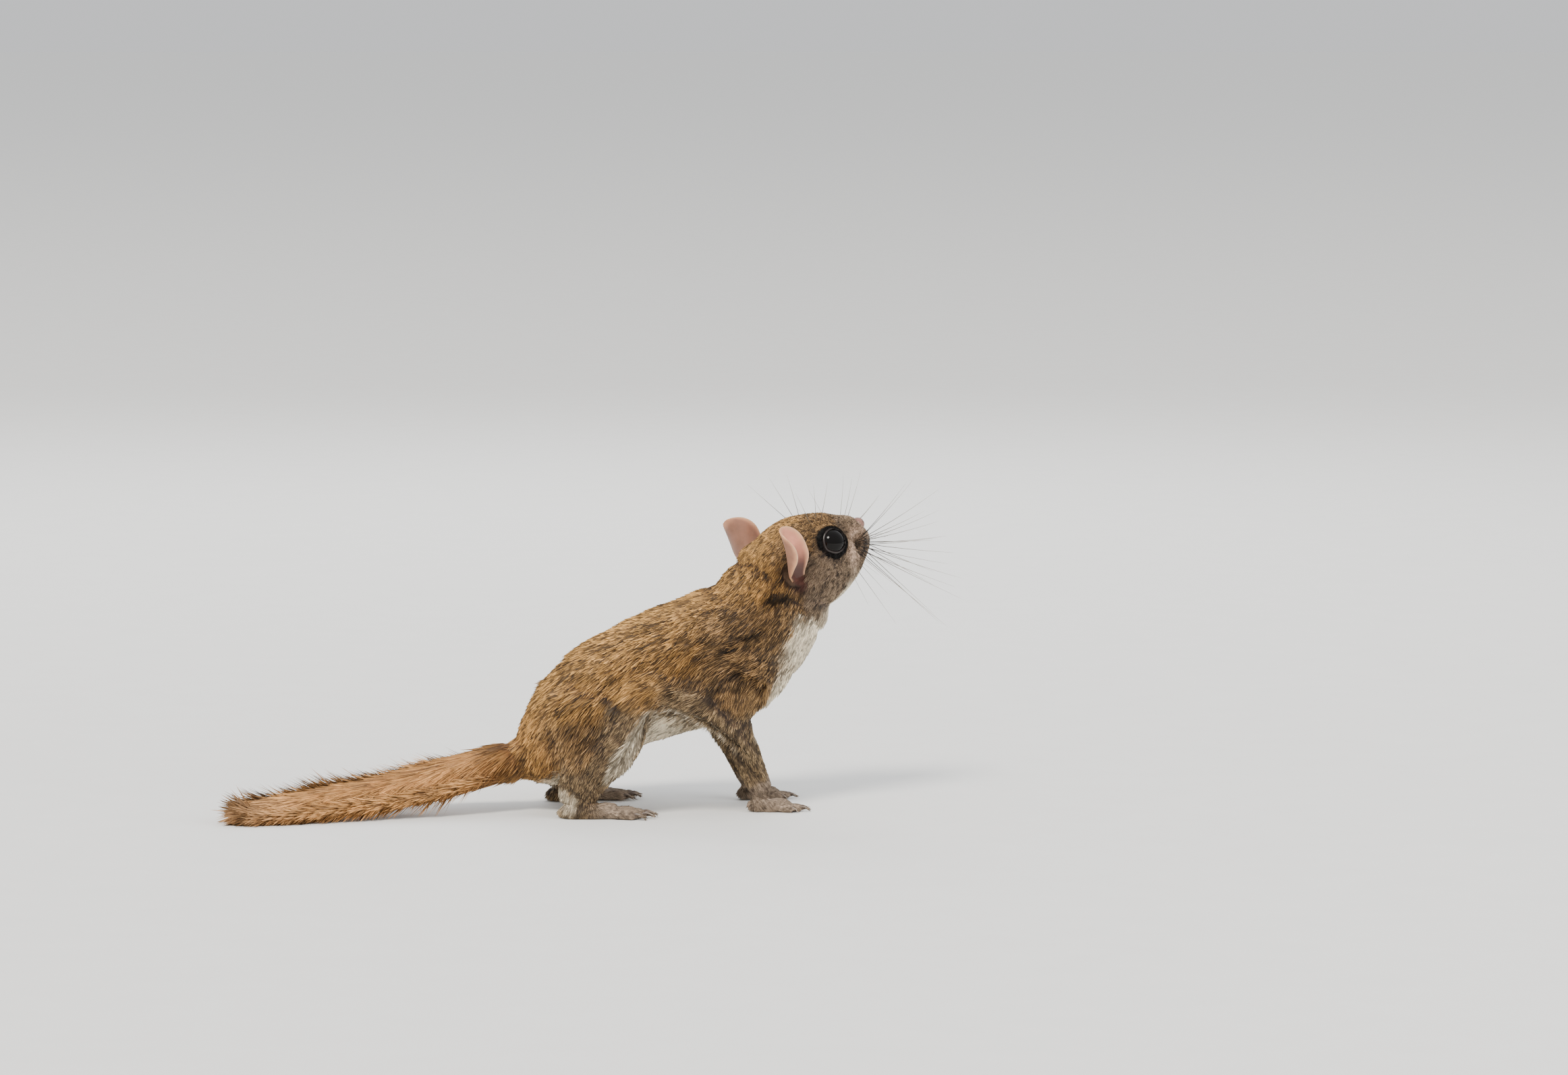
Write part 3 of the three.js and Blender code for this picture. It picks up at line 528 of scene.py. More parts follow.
def hair_colours(points):
    """Tip, middle and root colour of a hair rooted at each point.

    The guide spots' colours are blended sharply after each point is moved by noise of up to 2 mm, the
    tail's own colours take over behind the rump, and marks, edges and rings are laid over them, among them
    painted shade in the cup of each ear and before the thigh.
    """
    place, _, _, _, kind = guide_table()
    wander = np.stack([noise(points, 2.4, n) for n in (3, 4, 5)], -1) * 1.3
    wander += np.stack([noise(points, 0.9, n) for n in (6, 7, 8)], -1) * 0.7
    table = palette()
    share = guided(points + wander, 7, np.eye(len(COLOURS))[kind], place)
    colours = np.einsum("nk,ktc->ntc", share, table)

    s = settings().palette
    t, *_ = tail_place(points)
    tail = smoothstep(-6, -15, points[:, 0] + 1.5 * noise(points, 3, 9))[:, None, None]
    warm = np.array([linear(s.tail_tip), linear(s.tail_middle), linear(s.tail_root)])
    dusk = np.array([linear(s.tail_end), linear(s.tail_end), linear(s.tail_root)])
    dark = np.array([linear(s.tail_dark), linear(s.tail_dark), linear(s.slate)])
    far = smoothstep(0.72, 0.98, t)[:, None, None]
    near = smoothstep(0.34, 0.1, t)[:, None, None]
    own = mixed(warm, dusk, far)
    own = own * (1 - 0.55 * near) + dark * 0.55 * near
    colours = mixed(colours, own, tail)

    black = linear(s.black)
    pale = np.array([linear(s.cream_tip), linear(s.cream_tip), linear(s.cream_root)])
    for side in (RIGHT, LEFT):
        mirror = np.array((1, side, 1))
        edge = line_gap(points, np.array(MEMBRANE_EDGE) * mirror) + 0.35 * wander[:, 2]
        amount = (0.9 * smoothstep(2.0, 1.1, edge) * smoothstep(56, 47, points[:, 0]))[:, None, None]
        colours = mixed(colours, pale, amount)
        for _, start, end, reach, depth in PALE_MARKS:
            gap = line_gap(points, np.array([start, end]) * mirror) / reach + 0.25 * wander[:, 0]
            amount = depth * smoothstep(1.2, 0.7, gap)[:, None, None]
            colours = mixed(colours, pale, amount)
        for _, centre, half, depth in DARK_MARKS:
            gap = points - np.array(centre) * mirror
            ahead, out, up = gap.T
            slope = np.stack([ahead * 0.98 + up * 0.2, out, up * 0.98 - ahead * 0.2], -1)
            far = np.linalg.norm(slope / half, axis=1) + 0.2 * wander[:, 1]
            amount = depth * smoothstep(1.3, 0.6, far)[:, None, None]
            colours = mixed(colours, black, amount)
        pad = points - on_head(*PAD_AT, side)
        rows = 0.5 + 0.5 * np.cos(2 * np.pi * (pad @ ABOVE + 0.12 * pad @ AHEAD) / 0.95)
        amount = 0.3 * smoothstep(0.6, 0.95, rows) * smoothstep(3.9, 2.4, np.linalg.norm(pad, axis=1))
        amount = amount[:, None, None]
        colours = mixed(colours, black, amount)
        away, roll, r = round_eye(points, side)
        ring = away + 2.5 * wander[:, 0] - 5 * np.exp(-(((np.abs(roll) - 120) / 40) ** 2))
        amount = (smoothstep(EYE_OPEN + 24, EYE_OPEN + 8, ring) * smoothstep(7.4, 6, r))[:, None, None]
        colours = mixed(colours, black, amount)
        # Painted shade: the hair in the cup at the root of each ear takes the ear's dark cup colour
        away = points - on_head(*EAR_ROOT, side)
        shaded_cup = np.stack([away @ AHEAD - 0.8, side * (away @ ASIDE), away @ ABOVE + 1], -1)
        amount = smoothstep(1.2, 0.7, np.linalg.norm(shaded_cup / (2.4, 3.5, 3), axis=1))[:, None, None]
        colours = mixed(colours, linear(settings().head.ear_cup_shade), amount)
    return colours


# Materials


def material(name, roughness=0.6, specular=0.3):
    """A new material with its shader and output, and the shader's own roughness and specular level."""
    made = bpy.data.materials.new(name)
    made.use_nodes = True
    shader = made.node_tree.nodes["Principled BSDF"]
    shader.inputs["Roughness"].default_value = roughness
    shader.inputs["Specular IOR Level"].default_value = specular
    return made, made.node_tree.nodes, made.node_tree.links, shader


def mottled(nodes, links, colour, scale, amount):
    """colour × (1 ± amount) by noise in object coordinates, with the noise and the coordinates."""
    where = nodes.new("ShaderNodeTexCoord")
    grain = nodes.new("ShaderNodeTexNoise")
    grain.inputs["Scale"].default_value = scale
    grain.inputs["Detail"].default_value = 3.0
    links.new(where.outputs["Object"], grain.inputs["Vector"])
    span = nodes.new("ShaderNodeMapRange")
    span.inputs["From Min"].default_value = 0.3
    span.inputs["From Max"].default_value = 0.7
    span.inputs["To Min"].default_value = 1 - amount
    span.inputs["To Max"].default_value = 1 + amount
    links.new(grain.outputs["Fac"], span.inputs["Value"])
    mix = nodes.new("ShaderNodeVectorMath")
    mix.operation = "SCALE"
    links.new(colour, mix.inputs[0])
    links.new(span.outputs["Result"], mix.inputs["Scale"])
    return mix.outputs["Vector"], grain.outputs["Fac"], where.outputs["Object"]


def bumped(nodes, links, shader, height, distance):
    """The shader's normal from a height."""
    bump = nodes.new("ShaderNodeBump")
    bump.inputs["Distance"].default_value = distance
    bump.inputs["Strength"].default_value = 0.6
    links.new(height, bump.inputs["Height"])
    links.new(bump.outputs["Normal"], shader.inputs["Normal"])


def painted_material(name, attribute, roughness, specular, scale, amount, bump=0.0):
    """A material whose colour is the piece's own attribute, mottled, with a fine bump."""
    made, nodes, links, shader = material(name, roughness, specular)
    read = nodes.new("ShaderNodeAttribute")
    read.attribute_name = attribute
    colour, grain, _ = mottled(nodes, links, read.outputs["Color"], scale, amount)
    links.new(colour, shader.inputs["Base Color"])
    if bump:
        bumped(nodes, links, shader, grain, bump)
    return made, nodes, links, shader


def hair_material():
    """Hair: the coat's own colours, satin."""
    made, _, _, _ = painted_material("coat_hair", "Hair", 0.55, 0.2, 900, 0.1)
    return made


# Settings


def colour_setting(name, description, default):
    """A colour that a user may change, as the screen shows it."""
    return FloatVectorProperty(
        name=name, description=description, default=default, subtype="COLOR_GAMMA", min=0, max=1, size=3
    )


class PaletteSettings(PropertyGroup):
    slate: colour_setting("Slate", "Underfur and roots of the hair on the back", (0.17, 0.15, 0.15))
    black: colour_setting("Black", "Ring round the eye and dark streaks", (0.06, 0.05, 0.045))
    golden_tip: colour_setting("Golden tip", "Tips of the hair on the back", (0.85, 0.65, 0.38))
    golden_middle: colour_setting("Golden middle", "Middle of the hair on the back", (0.35, 0.25, 0.15))
    tawny_tip: colour_setting("Tawny tip", "Tips of the hair on the rump", (0.85, 0.64, 0.37))
    tawny_middle: colour_setting("Tawny middle", "Middle of the hair on the rump", (0.43, 0.3, 0.18))
    grizzled_tip: colour_setting("Grizzled tip", "Tips of the hair on neck and shoulder", (0.76, 0.6, 0.4))
    grizzled_middle: colour_setting("Grizzled middle", "Middle of that hair", (0.28, 0.21, 0.15))
    grey_tip: colour_setting("Grey tip", "Tips of the hair on membrane and legs", (0.78, 0.66, 0.49))
    grey_middle: colour_setting("Grey middle", "Middle of that hair", (0.3, 0.23, 0.17))
    pale_grey_tip: colour_setting("Pale grey tip", "Tips of the hair on the cheek", (0.62, 0.53, 0.43))
    pale_grey_middle: colour_setting("Pale grey middle", "Middle of that hair", (0.32, 0.26, 0.22))
    cream_tip: colour_setting("Cream tip", "Hair of throat, belly and the membrane's edge", (0.92, 0.86, 0.75))
    cream_root: colour_setting("Cream root", "Roots of that hair", (0.66, 0.59, 0.5))
    pad_tip: colour_setting("Pad tip", "Down on the whisker pad", (0.82, 0.7, 0.6))
    pad_root: colour_setting("Pad root", "Skin tone under it", (0.58, 0.46, 0.39))
    foot_tip: colour_setting("Foot tip", "Short hair on the feet", (0.56, 0.49, 0.42))
    foot_root: colour_setting("Foot root", "Skin tone under it", (0.36, 0.3, 0.26))
    tail_tip: colour_setting("Tail tip", "Tips of the tail's hair", (0.84, 0.62, 0.38))
    tail_middle: colour_setting("Tail middle", "Middle of the tail's hair", (0.62, 0.43, 0.25))
    tail_root: colour_setting("Tail root", "Roots of the tail's hair", (0.46, 0.33, 0.22))
    tail_dark: colour_setting("Tail dark", "Darker hair near the tail's root", (0.36, 0.25, 0.14))
    tail_end: colour_setting("Tail end", "Grey hair at the end of the tail", (0.7, 0.54, 0.38))


class CoatSettings(PropertyGroup):
    tufts: IntProperty(name="Tufts", description="Tufts in the whole coat", default=374000, min=1000)
    seed: IntProperty(name="Seed", description="Start of the random draw", default=11)
    long_hair: FloatProperty(
        name="Length", description="All hair lengths times this", default=1.0, min=0.2, max=2
    )
    ruffle: FloatProperty(
        name="Ruffle", description="How far hairs turn from the lie", default=0.2, min=0, max=1
    )
    clump: FloatProperty(name="Clump", description="How far tips gather", default=0.22, min=0, max=1)
    voxel: FloatProperty(
        name="Skin step", description="Mesh step of the skin", default=0.0006, min=0.0004, unit="LENGTH"
    )


class HeadSettings(PropertyGroup):
    eye_radius: FloatProperty(
        name="Eye radius", description="Radius of the eyeball", default=0.0047, unit="LENGTH"
    )
    ear_height: FloatProperty(
        name="Ear height", description="Root to tip of the ear", default=0.0196, unit="LENGTH"
    )
    whisker_length: FloatProperty(
        name="Whisker length", description="Longest whiskers", default=0.043, unit="LENGTH"
    )
    whisker_width: FloatProperty(
        name="Whisker width", description="Width of a whisker at its root", default=0.00022, unit="LENGTH"
    )
    eye: colour_setting("Eye", "The wet black eye", (0.03, 0.022, 0.018))
    iris: colour_setting("Iris", "Faint brown rim of the eye", (0.13, 0.07, 0.04))
    lid: colour_setting("Lid", "Bare rim of the lids", (0.13, 0.1, 0.09))
    ear_inside: colour_setting("Ear inside", "Pink skin in the cup of the ear", (0.8, 0.54, 0.44))
    # Painted shade at the bottom of the ear's cup, laid on the ear and on the hair at its root
    ear_cup_shade: colour_setting("Ear cup shade", "Dark pink at the bottom of the cup", (0.33, 0.21, 0.18))
    ear_rim: colour_setting("Ear rim", "Tan rim of the ear", (0.8, 0.6, 0.46))
    ear_back: colour_setting("Ear back", "Grey-pink back of the ear", (0.58, 0.43, 0.35))
    nose: colour_setting("Nose", "The nose pad", (0.52, 0.38, 0.33))
    whisker_root: colour_setting("Whisker root", "Dark root of a whisker", (0.12, 0.1, 0.09))
    whisker_tip: colour_setting("Whisker tip", "Pale tip of a whisker", (0.6, 0.56, 0.5))
    claw_root: colour_setting("Claw root", "Horn at the root of a claw", (0.35, 0.29, 0.25))
    claw_tip: colour_setting("Claw tip", "Horn at the tip of a claw", (0.66, 0.6, 0.54))


class StageSettings(PropertyGroup):
    azimuth: FloatProperty(
        name="Azimuth",
        description="Camera's turn from the animal's right side",
        default=math.radians(-8),
        subtype="ANGLE",
    )
    elevation: FloatProperty(
        name="Elevation", description="Camera's height angle", default=math.radians(5.5), subtype="ANGLE"
    )
    distance: FloatProperty(name="Distance", description="Camera to the animal", default=1.6, unit="LENGTH")
    lens: FloatProperty(name="Lens", description="Focal length for a 36 mm wide sensor", default=123.9)
    floor: colour_setting("Floor", "The plain pale floor", (0.93, 0.93, 0.92))
    key: FloatProperty(name="Key", description="Power of the key light", default=520.0, min=0)
    fill: FloatProperty(name="Fill", description="Power of the fill light", default=12.0, min=0)
    sky: FloatProperty(name="Sky", description="Brightness of the even light", default=0.8, min=0)
    rim: FloatProperty(name="Rim", description="Power of the light from behind", default=8.0, min=0)


class SquirrelSettings(PropertyGroup):
    palette: PointerProperty(type=PaletteSettings, name="Palette", description="Colours of the hair")
    coat: PointerProperty(type=CoatSettings, name="Coat", description="The coat's tufts")
    head: PointerProperty(type=HeadSettings, name="Head", description="Eyes, ears, nose and whiskers")
    stage: PointerProperty(type=StageSettings, name="Stage", description="Camera, floor and lights")


# Operators


class SQUIRREL_OT_camera(Operator):
    """Place the camera as the photograph was taken"""

    bl_idname = "squirrel.camera"
    bl_label = "Camera"

    def execute(self, context):
        s = settings().stage
        side, high = s.azimuth, s.elevation
        right = np.array([math.cos(side), math.sin(side), 0])
        forward = np.array([-math.sin(side) * math.cos(high), math.cos(side) * math.cos(high), -math.sin(high)])
        up = np.cross(right, forward)
        target = 68.4 * right + 80.6 * up
        data = bpy.data.cameras.new("camera")
        data.sensor_fit = "HORIZONTAL"
        data.sensor_width = 36
        data.lens = s.lens
        data.clip_start, data.clip_end = 0.05, 40
        camera = bpy.data.objects.new("camera", data)
        context.scene.collection.objects.link(camera)
        camera.location = placed(target) - s.distance * forward
        camera.rotation_mode = "QUATERNION"
        camera.rotation_quaternion = Vector(forward).to_track_quat("-Z", "Y")
        context.scene.camera = camera
        return {"FINISHED"}


def tail_core():
    """The tail under its hair: an ellipse of the core's share of the half sizes, carried along its line."""
    t = np.linspace(0, 1, 62)
    ends = round_ends(t, 0.1, 0.08)
    share = curve(TAIL_CORE, t)
    side = curve(TAIL_HALF, t) * share * ends * 0.9
    over = curve(TAIL_THICK, t) * (0.2 + 0.8 * share) * ends * 0.9
    path = np.array(TAIL_PATH, float)
    path[-1] = path[-1] * 0.8 + path[-2] * 0.2
    turn = -TAIL_ROLL * np.minimum(1, t * 3) * (1 - 0.5 * t)
    return swept(path, side, over, rings=60, around=24, turn=turn)


def relaxed(values, edges, times, share=0.5, hold=None):
    """values moved towards the mean of their neighbours, times over; hold from 0 to 1 slows a point."""
    count = np.bincount(edges.ravel(), minlength=len(values)).astype(float)[:, None]
    share = share if hold is None else share * (1 - hold)[:, None]
    for _ in range(times):
        total = np.stack(
            [
                np.bincount(edges[:, 0], values[edges[:, 1], c], len(values))
                + np.bincount(edges[:, 1], values[edges[:, 0], c], len(values))
                for c in range(values.shape[1])
            ],
            -1,
        )
        values = values + share * (total / count - values)
    return values


class SQUIRREL_OT_skin(Operator):
    """Grow one skin over all the flesh, inside its solids by the depth of the coat"""

    bl_idname = "squirrel.skin"
    bl_label = "Skin"

    def execute(self, context):
        flesh = [name for name in COAT_DEPTH if name != "tail"]
        whole = bmesh.new()
        for name in flesh + ["eye_right", "eye_left"]:
            whole.from_mesh(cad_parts[name].data)
        bmesh.ops.remove_doubles(whole, verts=whole.verts, dist=1e-6)
        whole.normal_update()
        for vertex in whole.verts:
            vertex.co += vertex.normal * 0.35 * MM
        extra = [tail_core()]
        for side in (RIGHT, LEFT):
            bead, bead_faces = ball(1.0, 12, 20)
            extra.append((bead * (3.2, 2.6, 2.4) + (60, 12.5 * side, 2.5), bead_faces))
        extra_points, extra_faces = joined(extra)
        added = [whole.verts.new(p) for p in placed(extra_points)]
        for face in extra_faces:
            whole.faces.new([added[i] for i in face])
        mesh = bpy.data.meshes.new("skin_shape")
        whole.to_mesh(mesh)
        whole.free()
        shape = bpy.data.objects.new("skin_shape", mesh)
        context.scene.collection.objects.link(shape)
        remesh = shape.modifiers.new("one skin", "REMESH")
        remesh.mode = "VOXEL"
        remesh.voxel_size = settings().coat.voxel
        context.view_layer.update()
        ready = bpy.data.meshes.new_from_object(shape.evaluated_get(context.evaluated_depsgraph_get()))
        bpy.data.objects.remove(shape)

        points = in_drawing(rows_of(ready.vertices, "co", 3))
        ready.calc_loop_triangles()
        faces = rows_of(ready.loop_triangles, "vertices", 3, np.int32)
        edges = rows_of(ready.edges, "vertices", 2, np.int32)
        bpy.data.meshes.remove(ready)

        depth = self.coat_depth(points)
        for side in (RIGHT, LEFT):
            depth = np.minimum(depth, 0.5 + 0.4 * np.maximum(round_eye(points, side)[2] - 6.5, 0))
        depth = relaxed(depth[:, None], edges, 30)[:, 0]
        fine = smoothstep(0.9, 0.3, depth)
        points = relaxed(points, edges, 6, hold=0.75 * fine)
        normal = face_normals(points, faces)
        normal = unit(relaxed(normal, edges, 8))
        points = points - normal * depth[:, None]
        points = relaxed(points, edges, 4, hold=0.8 * fine)
        points = lids_laid(points, settings().head.eye_radius / MM)
        points = cups_sunk(points)
        points[:, 2] = np.maximum(points[:, 2], 0.05)

        mesh = make_mesh("skin", points, faces)
        colours = hair_colours(points)
        paint(mesh, "Hair", colours[:, 2] * 0.55 + colours[:, 1] * 0.45)
        kept = mesh.attributes.new("coat_depth", "FLOAT", "POINT")
        kept.data.foreach_set("value", depth.astype(np.float32))
        made, _, _, _ = painted_material("skin_and_down", "Hair", 0.75, 0.2, 1500, 0.2, 0.0003)
        skin = add_piece(mesh, made, list(COAT_DEPTH))
        mesh.uv_layers.new(name="OFBake")
        context.view_layer.objects.active = skin
        skin.select_set(True)
        bpy.ops.object.mode_set(mode="EDIT")
        bpy.ops.mesh.select_all(action="SELECT")
        bpy.ops.uv.smart_project(angle_limit=math.radians(60), island_margin=0.001)
        bpy.ops.object.mode_set(mode="OBJECT")
        skin.select_set(False)
        return {"FINISHED"}

    @staticmethod
    def coat_depth(points):
        """The depth of the coat of the nearest solid, at each point."""
        tree_points, depths = [], []
        for name, depth in COAT_DEPTH.items():
            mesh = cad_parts[name].data
            tri = rows_of(mesh.polygons, "vertices", 3, np.int32)
            corners = in_drawing(rows_of(mesh.vertices, "co", 3))[tri]
            spots = np.concatenate([corners.reshape(-1, 3), corners.mean(1)])
            tree_points.append(spots)
            depths.append(np.full(len(spots), depth))
        tree = tree_of(np.concatenate(tree_points))
        near = np.array([tree.find(p)[1] for p in points])
        return np.concatenate(depths)[near]


def looking(direction):
    """Three directions of length 1: across, over and the direction itself."""
    w = unit(np.asarray(direction, float))
    u = unit(np.cross(ABOVE, w))
    return u, np.cross(w, u), w


def round_eye(points, side):
    """Each point from the middle of an eye: degrees away from its look, degrees round it, and distance."""
    u, v, w = looking(head_turned(EYE_LOOK, side))
    off = points - on_head(*EYE_AT, side)
    r = np.maximum(np.linalg.norm(off, axis=1), 1e-6)
    return np.degrees(np.arccos(np.clip(off @ w / r, -1, 1))), np.degrees(np.arctan2(off @ v, off @ u)), r


def lid_opening(roll):
    """Half the opening of the lids round the eye: wider before and behind, with a small corner before."""
    corner = np.exp(-(((np.abs(roll) - 180) / 16) ** 2))
    return EYE_OPEN + 2.0 * np.cos(np.radians(2 * roll)) + 2.5 * corner


def lids_laid(points, radius):
    """The skin round each eye, moved along the line from its middle.

    Within the opening it sinks 0.7 mm under the ball, beyond its edge it lies 0.25 mm over the ball, and
    from 14 to 40 degrees further out it passes into the face.
    """
    for side in (RIGHT, LEFT):
        away, roll, r = round_eye(points, side)
        edge = lid_opening(roll)
        target = radius - 0.7 + 0.95 * smoothstep(edge - 2, edge + 4, away)
        share = smoothstep(edge + 40, edge + 14, away) * smoothstep(7.6, 6.4, r)
        off = points - on_head(*EYE_AT, side)
        points = points + off / r[:, None] * ((target - r) * share)[:, None]
    return points


def cups_sunk(points):
    """The skin inside the cup of each ear, moved inwards by 3 exp(-(ahead / 3.4)² - (up / 4)²) mm."""
    for side in (RIGHT, LEFT):
        away = points - on_head(*EAR_ROOT, side)
        ahead, out, up = away @ AHEAD - 0.8, side * (away @ ASIDE), away @ ABOVE - 0.8
        dent = 3.0 * np.exp(-((ahead / 3.4) ** 2) - (up / 4) ** 2) * smoothstep(-8, -3, out)
        points = points - side * dent[:, None] * ASIDE
    return points


def face_normals(points, faces):
    """The normal at each point: the sum of its faces' (b - a) × (c - a), of length 1."""
    a, b, c = (points[faces[:, n]] for n in range(3))
    cross = np.cross(b - a, c - a)
    total = np.stack(
        [sum(np.bincount(faces[:, n], cross[:, k], len(points)) for n in range(3)) for k in range(3)], -1
    )
    return unit(total)


COAT_PIECES = [
    "coat_tail",
    "coat_rump",
    "coat_hip",
    "coat_flank",
    "coat_chest",
    "coat_shoulder",
    "coat_cheek",
    "coat_face",
]


class SQUIRREL_OT_coat(Operator):
    """Root the tufts of the coat in the skin, laid along the body"""

    bl_idname = "squirrel.coat"
    bl_label = "Coat"

    def execute(self, context):
        skin = bpy.data.objects.get("skin")
        if skin is None:
            raise RuntimeError("Make the skin before the coat")
        s = settings().coat
        rng = np.random.default_rng(s.seed)
        mesh = skin.data
        points = in_drawing(rows_of(mesh.vertices, "co", 3))
        faces = rows_of(mesh.polygons, "vertices", 3, np.int32)
        uv = rows_of(mesh.uv_layers["OFBake"].data, "uv", 2).reshape(-1, 3, 2)
        depth = rows_of(mesh.attributes["coat_depth"].data, "value", 1)[:, 0]
        normals = face_normals(points, faces)

        place, _, length, width, _ = guide_table()
        centre = points[faces].mean(1)
        size = guided(centre, 4, np.stack([length, width], -1), place)
        tail = smoothstep(-8, -16, centre[:, 0])
        size[:, 0] += tail * (10 - size[:, 0])
        size[:, 1] += tail * (0.24 - size[:, 1])
        a, b, c = (points[faces[:, n]] for n in range(3))
        area = np.linalg.norm(np.cross(b - a, c - a), axis=1) / 2
        wanted = area / (size[:, 0] ** 0.8 * size[:, 1]) * (1 + 1.1 * tail)
        wanted[centre[:, 2] < 0.35] = 0
        for side in (RIGHT, LEFT):
            away, roll, r = round_eye(centre, side)
            wanted[(away < lid_opening(roll) + 4) & (r < 6.5)] = 0
            away = centre - on_head(*EAR_ROOT, side)
            cup = np.stack([away @ AHEAD - 0.8, side * (away @ ASIDE), away @ ABOVE - 1], -1)
            wanted[np.linalg.norm(cup / (3.4, 6, 4.2), axis=1) < 1] = 0
        wanted[np.linalg.norm(centre - on_head(*NOSE_AT), axis=1) < 2.3] = 0
        chance = np.cumsum(wanted)
        pick = np.searchsorted(chance, rng.random(s.tufts) * chance[-1])
        r1, r2 = np.sqrt(rng.random(s.tufts)), rng.random(s.tufts)
        share = np.stack([1 - r1, r1 * (1 - r2), r1 * r2], -1)
        root = np.einsum("nk,nkc->nc", share, points[faces[pick]])
        normal = unit(np.einsum("nk,nkc->nc", share, normals[faces[pick]]))
        root_uv = np.einsum("nk,nkc->nc", share, uv[pick])
        rise = np.einsum("nk,nk->n", share, depth[faces[pick]])
        made = self.tufts(rng, s, root, normal, rise, root_uv)
        self.pieces(root, *made)
        return {"FINISHED"}

    @staticmethod
    def tufts(rng, s, root, normal, rise, root_uv):
        """The four points, colours and normals of each tuft.

        The root is sunk 0.3 mm and the tip is root + reach · along + rise · normal. Left and right stand
        half the width to each side of the middle, which is 0.45 of the reach along and 0.8 of the rise up,
        so a tuft is bent. Tips and middles gather round one tuft in fifteen. The normals of the tail's edge
        hair lean towards its upper side.
        """
        n = len(root)
        place, lie, length, width, kind = guide_table()
        fields = guided(root, 3.2, np.concatenate([lie, length[:, None], width[:, None]], -1), place)
        along, size, wide = fields[:, :3], fields[:, 3], fields[:, 4]

        t, e, h, tail_along, across, up = tail_place(root)
        tail = smoothstep(-8, -16, root[:, 0])
        half = curve(TAIL_HALF, t)
        core = half * curve(TAIL_CORE, t)
        spread = np.radians(8 + 46 * np.clip(np.abs(e) / core, 0, 1.1) ** 1.4)
        comb = tail_along * np.cos(spread)[:, None] + across * (np.sign(e) * np.sin(spread))[:, None]
        along = along * (1 - tail)[:, None] + comb * tail[:, None]
        reach = np.clip(((1.03 - t) * TAIL_LENGTH + 2.0) / np.cos(spread), 3, 10.5)
        reach = np.minimum(reach, (half - np.abs(e) + 1.2) / np.maximum(np.sin(spread), 0.35))
        size = size * (1 - tail) + reach * tail
        wide = wide * (1 - tail) + 0.22 * tail
        rise = rise * (1 - tail) + tail * (0.5 + 0.9 * np.abs(h) / 4)

        swirl = np.stack([noise(root, 5.0, k) for k in (21, 22, 23)], -1)
        frizz = rng.normal(0, 1, (n, 3))
        along = along + s.ruffle * (0.4 * swirl + 0.7 * frizz)
        along = unit(along - normal * np.einsum("ij,ij->i", along, normal)[:, None])
        size = size * s.long_hair * rng.uniform(0.72, 1.18, n)
        guard = rng.random(n) < 0.06
        size[guard] *= 1.15
        rise = np.maximum(rise, 0.12 * size) * rng.uniform(0.7, 1.2, n) * (1 + 0.15 * noise(root, 3.5, 31))
        rise = np.minimum(rise, 0.8 * size)
        reach = np.sqrt(np.maximum(size**2 - rise**2, 0.04))
        side = np.cross(along, normal)
        middle = root + along * (0.45 * reach)[:, None] + normal * (0.8 * rise)[:, None]
        tip = root + along * reach[:, None] + normal * rise[:, None]

        centres = rng.choice(n, n // LOCK_TUFTS, replace=False)
        tree = tree_of(root[centres])
        mate = centres[np.array([tree.find(p)[1] for p in root])]
        gather = (s.clump * rng.uniform(0.3, 1.0, n) * (1 + 0.6 * noise(root, 4.0, 41)))[:, None]
        gather[np.linalg.norm(root[mate] - root, axis=1) > 0.4 * size] = 0
        tip = tip + (tip[mate] - tip) * gather
        middle = middle + (middle[mate] - middle) * 0.35 * gather
        wide = (wide * rng.uniform(0.42, 0.95, n))[:, None]
        corners = np.stack([root - 0.3 * normal, middle - side * wide / 2, middle + side * wide / 2, tip], 1)
        corners[:, :, 2] = np.maximum(corners[:, :, 2], 0.06)

        kinds = hair_colours(root)
        shade = 1 + 0.24 * rng.normal(0, 1, n) + 0.28 * rng.normal(0, 1, n)[mate]
        shade = np.clip(shade + 0.14 * noise(root, 6.0, 51), 0.4, 1.7)[:, None]
        tone = np.stack([kinds[:, 2], kinds[:, 1] * shade, kinds[:, 1] * shade, kinds[:, 0] * shade], 1)
        streak = np.array([STREAKS.get(name, 0.0) for name in COLOURS])
        share = guided(root, 7, streak[kind][:, None], place)[:, 0] * (1 - 0.75 * tail)
        dark = (rng.random(n)[mate] + 0.12 * noise(root, 5.0, 52) < 0.8 * share) | (rng.random(n) < share)
        tone[dark, 1:] = 0.25 * tone[dark, 1:] + 0.75 * 0.6 * kinds[dark, 2:]
        flat = tail * np.maximum(smoothstep(0.3, 0.9, np.abs(e) / core), smoothstep(0.88, 0.97, t))
        facing = normal + 2.4 * flat[:, None] * up
        lean = unit(facing)[:, None] + 0.17 * rng.normal(0, 1, (n, 1, 3))
        lean = lean + side[:, None] * np.array([0, -0.45, 0.45, 0])[None, :, None]
        lean = lean + along[:, None] * np.array([-0.3, -0.1, -0.1, 0.35])[None, :, None]
        patch = root_uv[:, None] + np.array([[0, -1], [-1, 0], [1, 0], [0, 1]]) * 0.0015
        return corners, tone, unit(lean), patch

